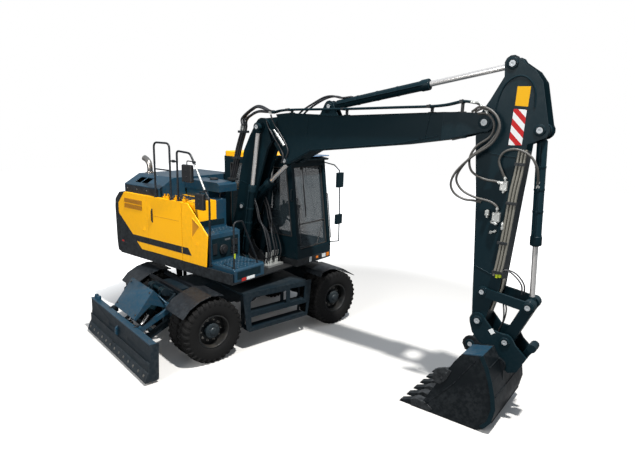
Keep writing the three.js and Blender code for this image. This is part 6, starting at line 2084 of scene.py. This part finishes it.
# %% Arm cylinder, coupler and boom foot hoses
for k, across in enumerate((-0.055, 0.045)):
    make_hose(f"arm_cylinder_hose_{k + 1}", [
        (1.40 + 0.05 * k, boom_y - 0.100 + 0.06 * k, 3.85),
        (1.50 + 0.05 * k, boom_y - 0.090 + 0.05 * k, 3.93),
        (1.68 + 0.03 * k, boom_y - 0.070 + 0.05 * k, 4.03), (1.86, boom_y + across, 4.115),
        (2.02, boom_y + across, 4.135), (2.18, boom_y + across * 0.6, 4.110),
        (2.34, boom_y + across * 0.4, 4.125)], 0.015, hose_rubber,
        6)

rear_low = surface("arm").ray_cast(Vector((6.0, boom_y - 0.08, 1.62)), Vector((-1, 0, 0)))[0].x
for k, across in enumerate((-0.100, -0.060)):
    make_hose(f"lever_hose_{k + 1}", [
        (4.745 - 0.02 * k, arm_face - 0.026 + 0.03 * k, 1.93), (4.80, boom_y + across - 0.01, 2.00),
        (4.90 + 0.03 * k, boom_y + across, 1.975), (5.02 + 0.02 * k, boom_y + across, 1.86),
        (5.04 + 0.02 * k, boom_y + across, 1.72)], 0.0095, hose_rubber,
        6)
    make_hose(f"coupler_hose_{k + 1}", [
        (rear_low + 0.012, boom_y + across + 0.06, 1.64), (rear_low + 0.07, boom_y + across + 0.06, 1.60),
        (4.83 + 0.02 * k, boom_y + across + 0.06, 1.48), (4.84, boom_y + across + 0.06, 1.32),
        (4.80, boom_y + across + 0.06, 1.18), (4.79, boom_y + across + 0.06, 1.06)], 0.0095, hose_rubber,
        6)


def build_lime_sleeves(bm):
    add_tube(bm, [Vector((4.774, arm_face - 0.029, z)) for z in (1.965, 1.94, 1.92)], 0.019, 10)
    add_tube(bm, [Vector((4.736, arm_face - 0.029, z)) for z in (1.955, 1.93, 1.91)], 0.019, 10)


make_piece("arm_lime_sleeves", build_lime_sleeves, "arm", lime_sleeve, bevel=0)

random.seed(11)
foot_lanes = 7
for k in range(foot_lanes):
    share = k / (foot_lanes - 1)
    x, y = 0.62 + 0.10 * random.random(), boom_y - 0.12 + 0.30 * share
    hand = 1 if share > 0.45 else -1
    make_hose(f"boom_foot_hose_{k + 1}", [
        (x + 0.10, y, 1.32), (x + 0.12 + 0.05 * random.random(), y, 1.52),
        (x + 0.05, y, 1.80 + 0.1 * random.random()), (x - 0.04, boom_y + hand * 0.126, 2.05),
        (x - 0.10, boom_y + hand * 0.130, 2.26), (x - 0.19, boom_y + hand * 0.130, 2.44)],
        0.0125, hose_rubber, 5)


def build_foot_fittings(bm):
    random.seed(12)
    for k in range(foot_lanes):
        x, y = 0.72 + 0.06 * random.random(), boom_y - 0.12 + 0.30 * k / (foot_lanes - 1)
        add_turned(bm, (x, y, 1.285), (0.1, 0, 1),
                   [(0, 0), (0.020, 0), (0.020, 0.05), (0.015, 0.055), (0.015, 0.10), (0, 0.10)], 6)
        add_turned(bm, (x + 0.015, y, 1.42), (0.1, 0, 1), drum(0.017, 0.09), 10)
    add_block(bm, (0.66, boom_y - 0.17, 1.245), (0.86, boom_y + 0.22, 1.29))


make_piece("boom_foot_fittings", build_foot_fittings, "upper", fitting_steel, bevel=0.001, segments=1,
           smooth=25)
print("hoses done; pieces so far:", piece_count["pieces"])
